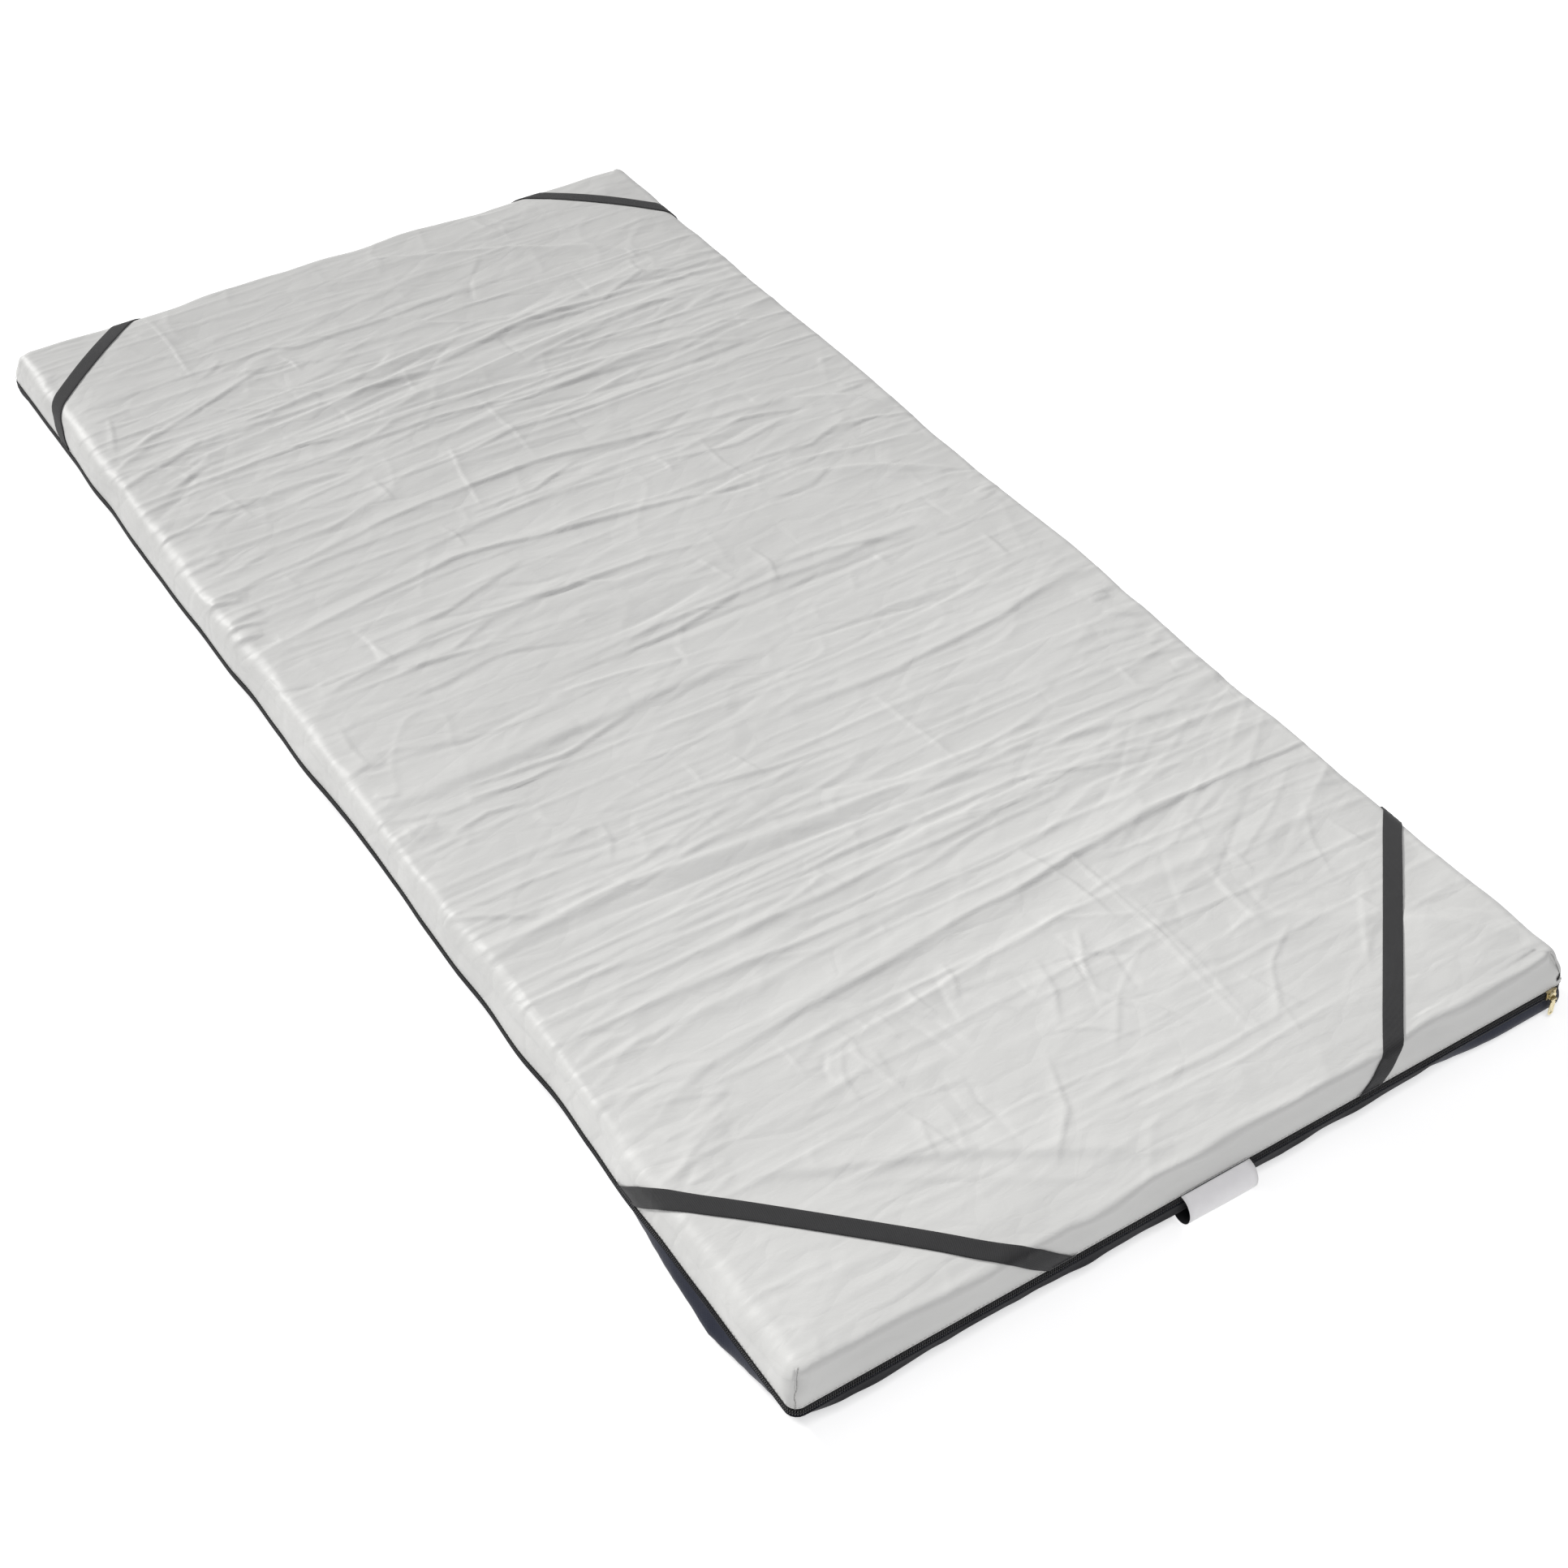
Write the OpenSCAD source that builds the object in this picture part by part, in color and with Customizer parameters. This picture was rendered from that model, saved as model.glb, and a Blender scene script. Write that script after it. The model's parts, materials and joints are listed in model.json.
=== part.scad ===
// Foam pressure relief mattress with a zipped two-part cover, lying on its patient side.
// Frame: origin at the centre of the face it rests on, +X along the short side,
// +Y along the length from the near end to the far end, +Z up.
// The navy top cover (patient side) is at the bottom and the grey base panel is at the top.

/* [Mattress] */
// Width across the short side
mattress_w = 900; // [800:10:1000]
// Length
mattress_l = 1900; // [1700:10:2100]
// Height from the patient face to the base panel
mattress_h = 75; // [66:1:100]
// Radius of the corners, seen from above
corner_r = 12; // [8:1:30]
// Thickness of both covers
cover_t = 1; // [0.6:0.1:1.5]

/* [Zip] */
// Height of the middle of the zip above the patient face
zip_z = 29; // [28:1:34]
// Height of the band that the zip fills between the two covers
zip_band = 10; // [9:0.5:12]
// Height of one half of the coil
coil_h = 3; // [2.5:0.1:3.4]
// Gap between the two halves of the coil
coil_gap = 0.8; // [0.6:0.1:1]
// Length of the slider along the zip
slider_l = 12; // [10:0.5:14]
// Radius of the slider's round crown
crown_r = 4.6; // [4:0.1:4.8]
// Length of the pull tab below its pin
tab_l = 22.2; // [18:0.1:23]
// Width of the pull tab
tab_w = 6.8; // [5:0.1:8]
// How far the free edge of the flap hangs below the zip band
flap_drop = 13.6; // [8:0.2:16]

/* [Straps] */
// Width of the elastic
strap_w = 20; // [15:1:30]
// Thickness of the elastic
strap_t = 1.4; // [1:0.1:2]
// Near straps: distance from the corner along the short side
near_strap_x = 268; // [200:2:300]
// Near straps: distance from the corner along the long side
near_strap_y = 280; // [200:2:300]
// Far straps: distance from the corner along the short side
far_strap_x = 200; // [160:2:300]
// Far straps: distance from the corner along the long side
far_strap_y = 190; // [160:2:300]
// How far each strap end leans towards the corner on its way up the wall
strap_lean = 26; // [0:2:40]
// Radius of the two bends in each strap
strap_bend_r = 35; // [20:5:90]

/* [Label] */
// Width of the care label
label_w = 80; // [60:5:100]
// Middle of the label, measured from the middle of the near side
label_x = 6; // [-60:2:60]
// How far the curl stands out from its own middle
label_reach = 15; // [13:0.5:18]

/* [Foam] */
// Thickness of the solid base slab
slab_h = 36; // [25:1:45]
// Number of foam blocks across the width
blocks_x = 9; // [6:1:12]
// Number of foam blocks along the length
blocks_y = 19; // [12:1:24]
// Width of the slots between the blocks
slot_w = 4; // [3:0.5:8]
// Depth of the slots
slot_d = 25; // [15:1:30]

/* [Hidden] */
$fn = 48;

// Half sizes, and the straight ends where the corners begin
half_w = mattress_w / 2;
half_l = mattress_l / 2;
straight_x = half_w - corner_r;
straight_y = half_l - corner_r;

// Clearance between pieces that lie against each other without touching
gap = 0.3;

// The two cover hems that the zip joins
base_hem_z = zip_z + zip_band / 2;
top_hem_z = zip_z - zip_band / 2;

// Undercut of the patient side: [inset, height] from the upright hem down to the resting face
undercut = [[0, 16], [5, 8], [13, 3], [26, 0]];

// Zip layers, as depths measured inward from the outer face of the covers
tape_out = 1.2;
tape_in = 1.8;
tape_lap = 10;
coil_out = -1;
coil_in = 1.1;
flap_out = -1.3;
flap_in = -0.3;
stop_l = 2.5;

// Slider, as distances measured outward from the outer face of the near wall
slider_h = zip_band - 0.4;
plate_t = 1.7;
plate_o = -coil_out + gap;
flange_h = 0.8;
inner_plate_t = 1.5;
web_t = 0.4;
slider_x = straight_x - stop_l - gap - slider_l / 2;
slider_face_o = plate_o + plate_t;
stem_r = 1.2;
stem_l = 1.4;
stem_end_gap = 0.2;
running = 0.05;
crown_t = 2;
crown_o = slider_face_o + gap;
crown_face_o = crown_o + crown_t;

// Crown ears, pin and pull tab
pin_z = zip_z - 2.8;
pin_o = crown_face_o + 1.5;
pin_r = 0.6;
ear_t = 1;
ear_x = 2.4;
barrel_r = 1.3;
barrel_l = 4.4;
tab_t = 1.2;
tab_hole_r = 1.2;

// Straps
strap_z = mattress_h + gap;
strap_top = strap_z + strap_t;
strap_foot_z = base_hem_z + 4.3;
strap_stub = 14;
strap_bend_steps = 9;
tack_t = 1.6;
tack_h = 3;

// Label: an open curl drawn as part of an ellipse round [label_o, label_z]
label_t = 0.5;
label_z = 18;
label_o = 2;
label_rise = 17.3;
label_start = -3;
label_end = 218;

// Foam
foam_gap = 4.5;
foam_w = mattress_w - 2 * foam_gap;
foam_l = mattress_l - 2 * foam_gap;
foam_top = mattress_h - cover_t - gap;
slab_bottom = foam_top - slab_h;
foam_step_z = 12;
foam_step = 20;
foam_bottom = cover_t + 0.8;

// A plate with rounded corners, inset from the mattress outline on every side
module outline_plate(inset, z, h) {
    r = max(corner_r - inset, 2);
    x = half_w - inset;
    y = half_l - inset;
    translate([0, 0, z])
        linear_extrude(h) {
            square([2 * x, 2 * (y - r)], center = true);
            square([2 * (x - r), 2 * y], center = true);
            for (sx = [-1, 1], sy = [-1, 1])
                translate([sx * (x - r), sy * (y - r)])
                    circle(r);
        }
}

// Everything inside the top cover's outer skin, with the skin moved inward by t
module top_cover_form(t, floor_z, top_z) {
    hull() {
        outline_plate(t, undercut[0][1], top_z - undercut[0][1]);
        outline_plate(undercut[1][0] + t, undercut[1][1] + floor_z * 0.7, 0.1);
        outline_plate(undercut[2][0] + t, undercut[2][1] + floor_z * 0.9, 0.1);
        outline_plate(undercut[3][0] + t, floor_z, 0.1);
    }
}

// A quarter turn of a strip round the corner that points along [sx, sy]
module corner_strip(sx, sy, d0, d1, z, h) {
    start = sx > 0 ? (sy > 0 ? 0 : 270) : (sy > 0 ? 90 : 180);
    translate([sx * straight_x, sy * straight_y, z])
        rotate([0, 0, start])
            rotate_extrude(angle = 90)
                translate([corner_r - d1, 0])
                    square([d1 - d0, h]);
}

// A straight strip along a short side, from x0 to x1, at depths d0 to d1
module short_side_strip(sy, x0, x1, d0, d1, z, h) {
    y = sy > 0 ? half_l - d1 : -half_l + d0;
    translate([x0, y, z])
        cube([x1 - x0, d1 - d0, h]);
}

// A straight strip along a long side at depths d0 to d1
module long_side_strip(sx, d0, d1, z, h) {
    x = sx > 0 ? half_w - d1 : -half_w + d0;
    translate([x, -straight_y, z])
        cube([d1 - d0, 2 * straight_y, h]);
}

// A strip along the zip: near side, left side and far side, ending at x_end
module zip_strip(d0, d1, z, h, x_end) {
    for (sy = [-1, 1]) {
        short_side_strip(sy, -straight_x, x_end, d0, d1, z, h);
        corner_strip(-1, sy, d0, d1, z, h);
    }
    long_side_strip(-1, d0, d1, z, h);
}

// Grey cover of the underside: a panel with four walls, open downward
module base_cover() {
    color("gainsboro")
        difference() {
            outline_plate(0, base_hem_z, mattress_h - base_hem_z);
            outline_plate(cover_t, base_hem_z - 1, mattress_h - cover_t - base_hem_z + 1);
        }
}

// Stitched seams up the four corners of the base cover
module base_corner_seams() {
    seam_r = 0.7;
    offset_xy = corner_r * (1 - cos(45)) - (seam_r + gap) * cos(45);
    color("lightgray")
        for (sx = [-1, 1], sy = [-1, 1])
            translate([sx * (half_w - offset_xy), sy * (half_l - offset_xy), base_hem_z + 1])
                cylinder(r = seam_r, h = mattress_h - base_hem_z - 2);
}

// Navy cover of the patient side: a pan with rounded-under edges, open upward
module top_cover() {
    color("midnightblue")
        difference() {
            top_cover_form(0, 0, top_hem_z);
            top_cover_form(cover_t, cover_t, top_hem_z + 1);
        }
}

// Solid foam layer next to the base panel
module foam_base_slab() {
    color("khaki")
        outline_plate(foam_gap, slab_bottom, foam_top - slab_bottom);
}

// Foam blocks on the patient side, cut by crossing slots, with a step that clears the undercut
module foam_castellated_layer() {
    pitch_x = foam_w / blocks_x;
    pitch_y = foam_l / blocks_y;
    color("lightsteelblue")
        difference() {
            union() {
                outline_plate(foam_gap, foam_step_z, slab_bottom - gap - foam_step_z);
                outline_plate(foam_gap + foam_step, foam_bottom, foam_step_z - foam_bottom);
            }
            for (i = [1 : blocks_x - 1])
                translate([-foam_w / 2 + i * pitch_x - slot_w / 2, -half_l, foam_bottom - 1])
                    cube([slot_w, mattress_l, slot_d + 1]);
            for (j = [1 : blocks_y - 1])
                translate([-half_w, -foam_l / 2 + j * pitch_y - slot_w / 2, foam_bottom - 1])
                    cube([mattress_w, slot_w, slot_d + 1]);
        }
}

// Tape sewn inside the base cover's hem
module zip_tape_base() {
    tape_z = zip_z + coil_gap / 2 + 0.4;
    color("black")
        zip_strip(tape_out, tape_in, tape_z, base_hem_z + tape_lap - tape_z, straight_x);
}

// Tape sewn inside the top cover's hem
module zip_tape_top() {
    tape_top = zip_z - coil_gap / 2 - 0.4;
    tape_z = undercut[0][1] + 1;
    color("black")
        zip_strip(tape_out, tape_in, tape_z, tape_top - tape_z, straight_x);
}

// Coil half on the base tape
module zip_coil_base() {
    color("dimgray")
        zip_strip(coil_out, coil_in, zip_z + coil_gap / 2, coil_h, straight_x - stop_l);
}

// Coil half on the top tape
module zip_coil_top() {
    color("dimgray")
        zip_strip(coil_out, coil_in, zip_z - coil_gap / 2 - coil_h, coil_h, straight_x - stop_l);
}

// Two clamps on the coil ends, where the slider is parked
module zip_top_stops() {
    stop_z = [zip_z + coil_gap / 2, zip_z - coil_gap / 2 - coil_h];
    color("goldenrod")
        for (z = stop_z)
            short_side_strip(-1, straight_x - stop_l, straight_x, coil_out - gap, coil_in, z, coil_h);
}

// One clamp across both coil ends at the far end of the zip
module zip_bottom_stop() {
    stop_h = 2 * coil_h + coil_gap;
    color("goldenrod")
        short_side_strip(1, straight_x - stop_l, straight_x, coil_out - gap, coil_in,
                         zip_z - stop_h / 2, stop_h);
}

// Strip that hangs below the zip from the top cover's hem
module zip_flap() {
    color("darkslategray")
        zip_strip(flap_out, flap_in, top_hem_z - gap - flap_drop, flap_drop, straight_x);
}

// Tape that joins the covers along the right side and round its two corners
module side_seam_tape() {
    tape_z = undercut[0][1] + 1;
    tape_h = base_hem_z + tape_lap - tape_z;
    color("black") {
        long_side_strip(1, tape_out, tape_in, tape_z, tape_h);
        for (sy = [-1, 1])
            corner_strip(1, sy, tape_out, tape_in, tape_z, tape_h);
    }
}

// Outward distance o from the near wall, as a Y coordinate
function near_y(o) = -half_l - o;

// Cast slider: two plates with guiding flanges, joined by a web between the coil halves
module zip_slider() {
    inner_y = -half_l + tape_in + gap;
    flange_z = [zip_z - slider_h / 2, zip_z + slider_h / 2 - flange_h];
    color("goldenrod") {
        difference() {
            translate([slider_x - slider_l / 2, near_y(slider_face_o), zip_z - slider_h / 2])
                cube([slider_l, plate_t, slider_h]);
            translate([slider_x, near_y(crown_o - stem_l - stem_end_gap), zip_z])
                rotate([90, 0, 0])
                    cylinder(r = stem_r + running, h = plate_t);
        }
        for (z = flange_z)
            translate([slider_x - slider_l / 2, near_y(plate_o), z])
                cube([slider_l, 1.1, flange_h]);
        translate([slider_x - slider_l / 2, inner_y, zip_z - slider_h / 2])
            cube([slider_l, inner_plate_t, slider_h]);
        translate([slider_x + slider_l / 4, near_y(plate_o), zip_z - web_t / 2])
            cube([slider_l / 4, inner_y + half_l + plate_o, web_t]);
    }
}

// Round crown that turns in the slider, with two ears for the pin
module slider_crown() {
    ear_o = pin_o + 1.3;
    color("gold")
        difference() {
            union() {
                translate([slider_x, near_y(crown_o), zip_z])
                    rotate([90, 0, 0])
                        cylinder(r = crown_r, h = crown_t);
                translate([slider_x, near_y(crown_o - stem_l), zip_z])
                    rotate([90, 0, 0])
                        cylinder(r = stem_r, h = stem_l + 0.5);
                for (x = [-ear_x - ear_t, ear_x])
                    translate([slider_x + x, near_y(ear_o), pin_z - 1.3])
                        cube([ear_t, ear_o - crown_face_o + 0.5, 2.6]);
            }
            translate([slider_x - 5, near_y(pin_o), pin_z])
                rotate([0, 90, 0])
                    cylinder(r = pin_r + 0.01, h = 10);
        }
}

// Pin through the crown's ears
module puller_pin() {
    pin_l = 2 * (ear_x + ear_t) + 0.4;
    color("goldenrod")
        translate([slider_x - pin_l / 2, near_y(pin_o), pin_z])
            rotate([0, 90, 0])
                cylinder(r = pin_r, h = pin_l);
}

// Pull tab: a barrel round the pin, a narrow neck and a wide tab with a hole near its tip
module zip_puller() {
    neck_l = 3.4;
    neck_w = 3.6;
    color("gold")
        difference() {
            union() {
                translate([slider_x - barrel_l / 2, near_y(pin_o), pin_z])
                    rotate([0, 90, 0])
                        cylinder(r = barrel_r, h = barrel_l);
                translate([slider_x - neck_w / 2, near_y(pin_o + tab_t / 2), pin_z - neck_l - 1])
                    cube([neck_w, tab_t, neck_l + 0.2]);
                translate([slider_x, near_y(pin_o - tab_t / 2), pin_z - neck_l])
                    rotate([90, 0, 0])
                        linear_extrude(tab_t) {
                            translate([-tab_w / 2, -tab_l + neck_l + tab_w / 2])
                                square([tab_w, tab_l - neck_l - tab_w / 2]);
                            translate([0, -tab_l + neck_l + tab_w / 2])
                                circle(tab_w / 2);
                        }
            }
            translate([slider_x - barrel_l, near_y(pin_o), pin_z])
                rotate([0, 90, 0])
                    cylinder(r = pin_r + running, h = 2 * barrel_l);
            translate([slider_x, near_y(pin_o - tab_t), pin_z - tab_l + tab_w / 2])
                rotate([90, 0, 0])
                    cylinder(r = tab_hole_r, h = 2 * tab_t);
        }
}

// A point on a strap's bend round [cx, cy], where the strap heads along angle h: [x, y, h]
function bend_point(cx, cy, h) =
    [cx - strap_bend_r * sin(h), cy + strap_bend_r * cos(h), h];

// Centre line of one strap, for a corner at the origin whose sides run along +X and +Y.
// It leaves the long side at [0, b] and reaches the short side at [a, 0].
function strap_path(a, b) =
    let (
        reach = strap_bend_r + strap_stub,
        turn = atan2(b - reach, a - reach),
        n = strap_bend_steps
    )
    concat(
        [[-gap, b, 0]],
        [for (i = [0 : n]) bend_point(strap_stub, b - strap_bend_r, -turn * i / n)],
        [for (i = [0 : n]) bend_point(a - strap_bend_r, strap_stub, -turn - (90 - turn) * i / n)],
        [[a, -gap, -90]]
    );

// Points beside a path, half a strap's width to its left (side = 1) or right (side = -1)
function strap_edge(path, side) =
    [for (p = path) [p[0] - side * strap_w / 2 * sin(p[2]), p[1] + side * strap_w / 2 * cos(p[2])]];

// The flat run of one strap
module strap_run(a, b) {
    path = strap_path(a, b);
    left = strap_edge(path, 1);
    right = strap_edge(path, -1);
    last = len(right) - 1;
    linear_extrude(strap_t)
        polygon(concat(left, [for (i = [0 : last]) right[last - i]]));
}

// Places a shape drawn for a corner at the origin onto the corner that points along [sx, sy]
module at_corner(sx, sy, z) {
    translate([sx * half_w, sy * half_l, z])
        mirror([sx > 0 ? 1 : 0, 0, 0])
            mirror([0, sy > 0 ? 1 : 0, 0])
                children();
}

// Outline of a strap end on a wall: w wide at a distance d from the corner, leaning towards it
function foot_outline(d, w, h, lean) =
    [[d - w / 2, 0], [d + w / 2, 0], [d - lean + w / 2, h], [d - lean - w / 2, h]];

// Two flat pieces outside the walls, where one strap's ends go down, each t thick and h high
module strap_feet(sx, sy, a, b, z, w, t, h, lean) {
    at_corner(sx, sy, z) {
        translate([-gap - t, 0])
            rotate([90, 0, 90])
                linear_extrude(t)
                    polygon(foot_outline(b, w, h, lean));
        translate([0, -gap])
            rotate([90, 0, 0])
                linear_extrude(t)
                    polygon(foot_outline(a, w, h, lean));
    }
}

// Elastic strap: the span that lies on the base panel
module strap_span(sx, sy, a, b) {
    color("dimgray")
        at_corner(sx, sy, strap_z)
            strap_run(a - strap_lean, b - strap_lean);
}

// Elastic strap: its two ends, down the walls to the seam
module strap_ends(sx, sy, a, b) {
    color("dimgray")
        strap_feet(sx, sy, a, b, strap_foot_z, strap_w, strap_t, strap_top - strap_foot_z, strap_lean);
}

// Stitched patches that hold one strap's two ends
module strap_tack_pair(sx, sy, a, b) {
    strap_feet(sx, sy, a, b, strap_foot_z - gap - tack_h, strap_w + 2, tack_t, tack_h, 0);
}

// All eight bar tacks
module strap_bar_tacks() {
    color("black") {
        strap_tack_pair(-1, -1, near_strap_x, near_strap_y);
        strap_tack_pair(1, -1, near_strap_x, near_strap_y);
        strap_tack_pair(-1, 1, far_strap_x, far_strap_y);
        strap_tack_pair(1, 1, far_strap_x, far_strap_y);
    }
}

module strap_near_left() { strap_span(-1, -1, near_strap_x, near_strap_y); }

module strap_near_left_ends() { strap_ends(-1, -1, near_strap_x, near_strap_y); }

module strap_near_right() { strap_span(1, -1, near_strap_x, near_strap_y); }

module strap_near_right_ends() { strap_ends(1, -1, near_strap_x, near_strap_y); }

module strap_far_left() { strap_span(-1, 1, far_strap_x, far_strap_y); }

module strap_far_left_ends() { strap_ends(-1, 1, far_strap_x, far_strap_y); }

module strap_far_right() { strap_span(1, 1, far_strap_x, far_strap_y); }

module strap_far_right_ends() { strap_ends(1, 1, far_strap_x, far_strap_y); }

// A point of the label's curl at angle t, moved inward by depth
function label_point(t, depth) = [
    label_o + (label_reach - depth) * sin(t),
    label_z + (label_rise - depth) * cos(t)
];

// Care label: a sheet that hangs from the base cover's hem and curls under
module care_label() {
    step = (label_end - label_start) / 28;
    outer = [for (i = [0 : 28]) label_point(label_start + i * step, 0)];
    inner = [for (i = [0 : 28]) label_point(label_end - i * step, label_t)];
    color("white")
        translate([label_x - label_w / 2, -half_l, 0])
            rotate([90, 0, 90])
                linear_extrude(label_w)
                    mirror([1, 0])
                        polygon(concat(outer, inner));
}

// Row of stitches that holds the label in the hem
module label_stitching() {
    color("whitesmoke")
        translate([label_x - label_w / 2, near_y(1.1), base_hem_z + 1.8])
            cube([label_w, 0.8, 1]);
}

base_cover();
base_corner_seams();
top_cover();
foam_base_slab();
foam_castellated_layer();
zip_tape_base();
zip_tape_top();
zip_coil_base();
zip_coil_top();
zip_top_stops();
zip_bottom_stop();
zip_flap();
side_seam_tape();
strap_bar_tacks();
label_stitching();
zip_slider();
slider_crown();
puller_pin();
zip_puller();
strap_near_left();
strap_near_left_ends();
strap_near_right();
strap_near_right_ends();
strap_far_left();
strap_far_left_ends();
strap_far_right();
strap_far_right_ends();
care_label();
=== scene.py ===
"""Looks of a foam pressure relief mattress that lies on its patient side.

The grey base cover faces up, wrinkled from having been rolled, with an elastic strap across
each corner. Under its hem run the zip and a wavy flap, and the navy top cover faces the floor.
Lengths are in metres in the part's own frame, unless a name says otherwise.
"""
import json
import math

import bmesh
import bpy
import numpy as np
from mathutils import Matrix, Vector

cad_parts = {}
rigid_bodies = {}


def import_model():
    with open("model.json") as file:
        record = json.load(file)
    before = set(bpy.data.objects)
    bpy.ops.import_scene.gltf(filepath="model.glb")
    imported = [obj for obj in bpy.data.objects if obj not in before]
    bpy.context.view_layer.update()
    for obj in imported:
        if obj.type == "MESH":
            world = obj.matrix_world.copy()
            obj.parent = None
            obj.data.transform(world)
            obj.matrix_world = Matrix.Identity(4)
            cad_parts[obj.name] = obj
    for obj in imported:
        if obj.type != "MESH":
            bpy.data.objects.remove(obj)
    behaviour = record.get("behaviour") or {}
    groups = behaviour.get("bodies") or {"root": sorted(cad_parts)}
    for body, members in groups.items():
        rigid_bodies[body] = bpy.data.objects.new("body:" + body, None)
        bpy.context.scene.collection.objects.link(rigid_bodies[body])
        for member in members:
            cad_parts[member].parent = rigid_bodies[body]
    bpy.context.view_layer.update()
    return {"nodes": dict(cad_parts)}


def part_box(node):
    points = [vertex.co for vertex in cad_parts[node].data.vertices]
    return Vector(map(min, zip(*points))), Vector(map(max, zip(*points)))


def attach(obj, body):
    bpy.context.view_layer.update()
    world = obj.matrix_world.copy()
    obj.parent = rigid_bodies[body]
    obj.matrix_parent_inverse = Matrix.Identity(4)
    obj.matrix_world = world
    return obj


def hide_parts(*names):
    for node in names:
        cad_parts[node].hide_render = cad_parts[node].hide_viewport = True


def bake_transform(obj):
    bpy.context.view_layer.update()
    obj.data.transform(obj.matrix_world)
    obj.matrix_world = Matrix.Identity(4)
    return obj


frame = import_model()
carried_over = {piece.name for piece in bpy.data.objects}
MM = 0.001

# ---------------------------------------------------------------- sizes, from the frame
base_low, base_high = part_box("base_cover")
HALF_W, HALF_L = base_high.x, base_high.y
TOP_Z, BASE_HEM_Z = base_high.z, base_low.z
TOP_HEM_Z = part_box("top_cover")[1].z
ZIP_Z = (BASE_HEM_Z + TOP_HEM_Z) / 2
CORNER_R = 12 * MM
STRAIGHT_X, STRAIGHT_Y = HALF_W - CORNER_R, HALF_L - CORNER_R

# The top outline of the base cover stands in from its hem, and its edge is a soft roll whose
# radius differs along the long sides, the near side and the far side
TOP_INSET = 5 * MM
TOP_CORNER_R = 20 * MM
ROLL_LEFT, ROLL_RIGHT, ROLL_NEAR, ROLL_FAR = 18 * MM, 11 * MM, 9 * MM, 14 * MM
PANEL_Z = TOP_Z - 1.6 * MM
FINE_STEP = 2.6 * MM


# ---------------------------------------------------------------- numbers and noise
def smooth(t):
    """Ease from 0 to 1."""
    t = np.clip(t, 0, 1)
    return t * t * (3 - 2 * t)


def noise(x, y, cell_x, cell_y, seed):
    """A smooth random field from -1 to 1 whose features have about the given sizes."""
    table = np.random.default_rng(seed).uniform(-1, 1, (113, 127))
    turn = 0.21 * (seed % 5 - 2)
    u = x / cell_x * math.cos(turn) + y / cell_y * math.sin(turn) + 300.5
    v = y / cell_y * math.cos(turn) - x / cell_x * math.sin(turn) + 300.5
    i, j = np.floor(u).astype(int), np.floor(v).astype(int)
    s, t = smooth(u - i), smooth(v - j)
    i0, i1, j0, j1 = i % 113, (i + 1) % 113, j % 127, (j + 1) % 127
    low = table[i0, j0] * (1 - s) + table[i1, j0] * s
    high = table[i0, j1] * (1 - s) + table[i1, j1] * s
    return low * (1 - t) + high * t


def ripple(s, cell, seed):
    """Noise along a line, from -1 to 1."""
    return noise(s, s * 0, cell, 1, seed)


def wander(s, *waves):
    """Two or more ripples along a line, each (size in millimetres, cell, seed)."""
    return sum(size * ripple(s, cell, seed) for size, cell, seed in waves) * MM


def cloudy(x, y, cell_x, cell_y, seed, octaves=3):
    """Noise with finer noise on top."""
    total, size = 0, 1
    for k in range(octaves):
        total = total + noise(x, y, cell_x * size, cell_y * size, seed + 7 * k) * size
        size *= 0.5
    return total / 1.6


def creased(x, y, cell_x, cell_y, seed):
    """Narrow ridges from 0 to 1 that wander like the creases of a thin coated sheet."""
    warp = noise(x, y, cell_x * 1.7, cell_y * 1.7, seed + 3)
    field = noise(x + warp * cell_x * 0.4, y + warp * cell_y * 0.4, cell_x, cell_y, seed)
    return np.clip(1 - np.abs(field) * 2.6, 0, 1) ** 2


# ---------------------------------------------------------------- meshes
def mesh_piece(name, points, faces, uv=None):
    """A smooth-shaded mesh object. uv is a list with one (u, v) per point, in metres."""
    mesh = bpy.data.meshes.new(name)
    mesh.from_pydata(np.asarray(points, float).tolist(), [], [list(map(int, f)) for f in faces])
    mesh.polygons.foreach_set("use_smooth", [True] * len(mesh.polygons))
    if uv is not None:
        layer = mesh.uv_layers.new(name="UVMap")
        corner_points = np.zeros(len(mesh.loops), int)
        mesh.loops.foreach_get("vertex_index", corner_points)
        layer.data.foreach_set("uv", np.asarray(uv, np.float32)[corner_points].ravel())
    mesh.update()
    piece = bpy.data.objects.new(name, mesh)
    bpy.context.scene.collection.objects.link(piece)
    return piece


def quads(rows, columns, close_columns=False):
    """Faces of a grid of points stored row by row."""
    i, j = np.arange(rows - 1), np.arange(columns if close_columns else columns - 1)
    i, j = (g.ravel() for g in np.meshgrid(i, j, indexing="ij"))
    i1, j1 = i + 1, (j + 1) % columns
    return np.stack([i * columns + j, i * columns + j1, i1 * columns + j1, i1 * columns + j], 1)


def running_length(points):
    """Distance along a row of points, starting at 0."""
    steps = np.linalg.norm(np.diff(points, axis=0), axis=1)
    return np.concatenate([[0], np.cumsum(steps)])


def headings(line):
    """Unit directions along a row of points."""
    ways = np.gradient(line, axis=0)
    return ways / np.linalg.norm(ways, axis=1)[:, None]


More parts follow.
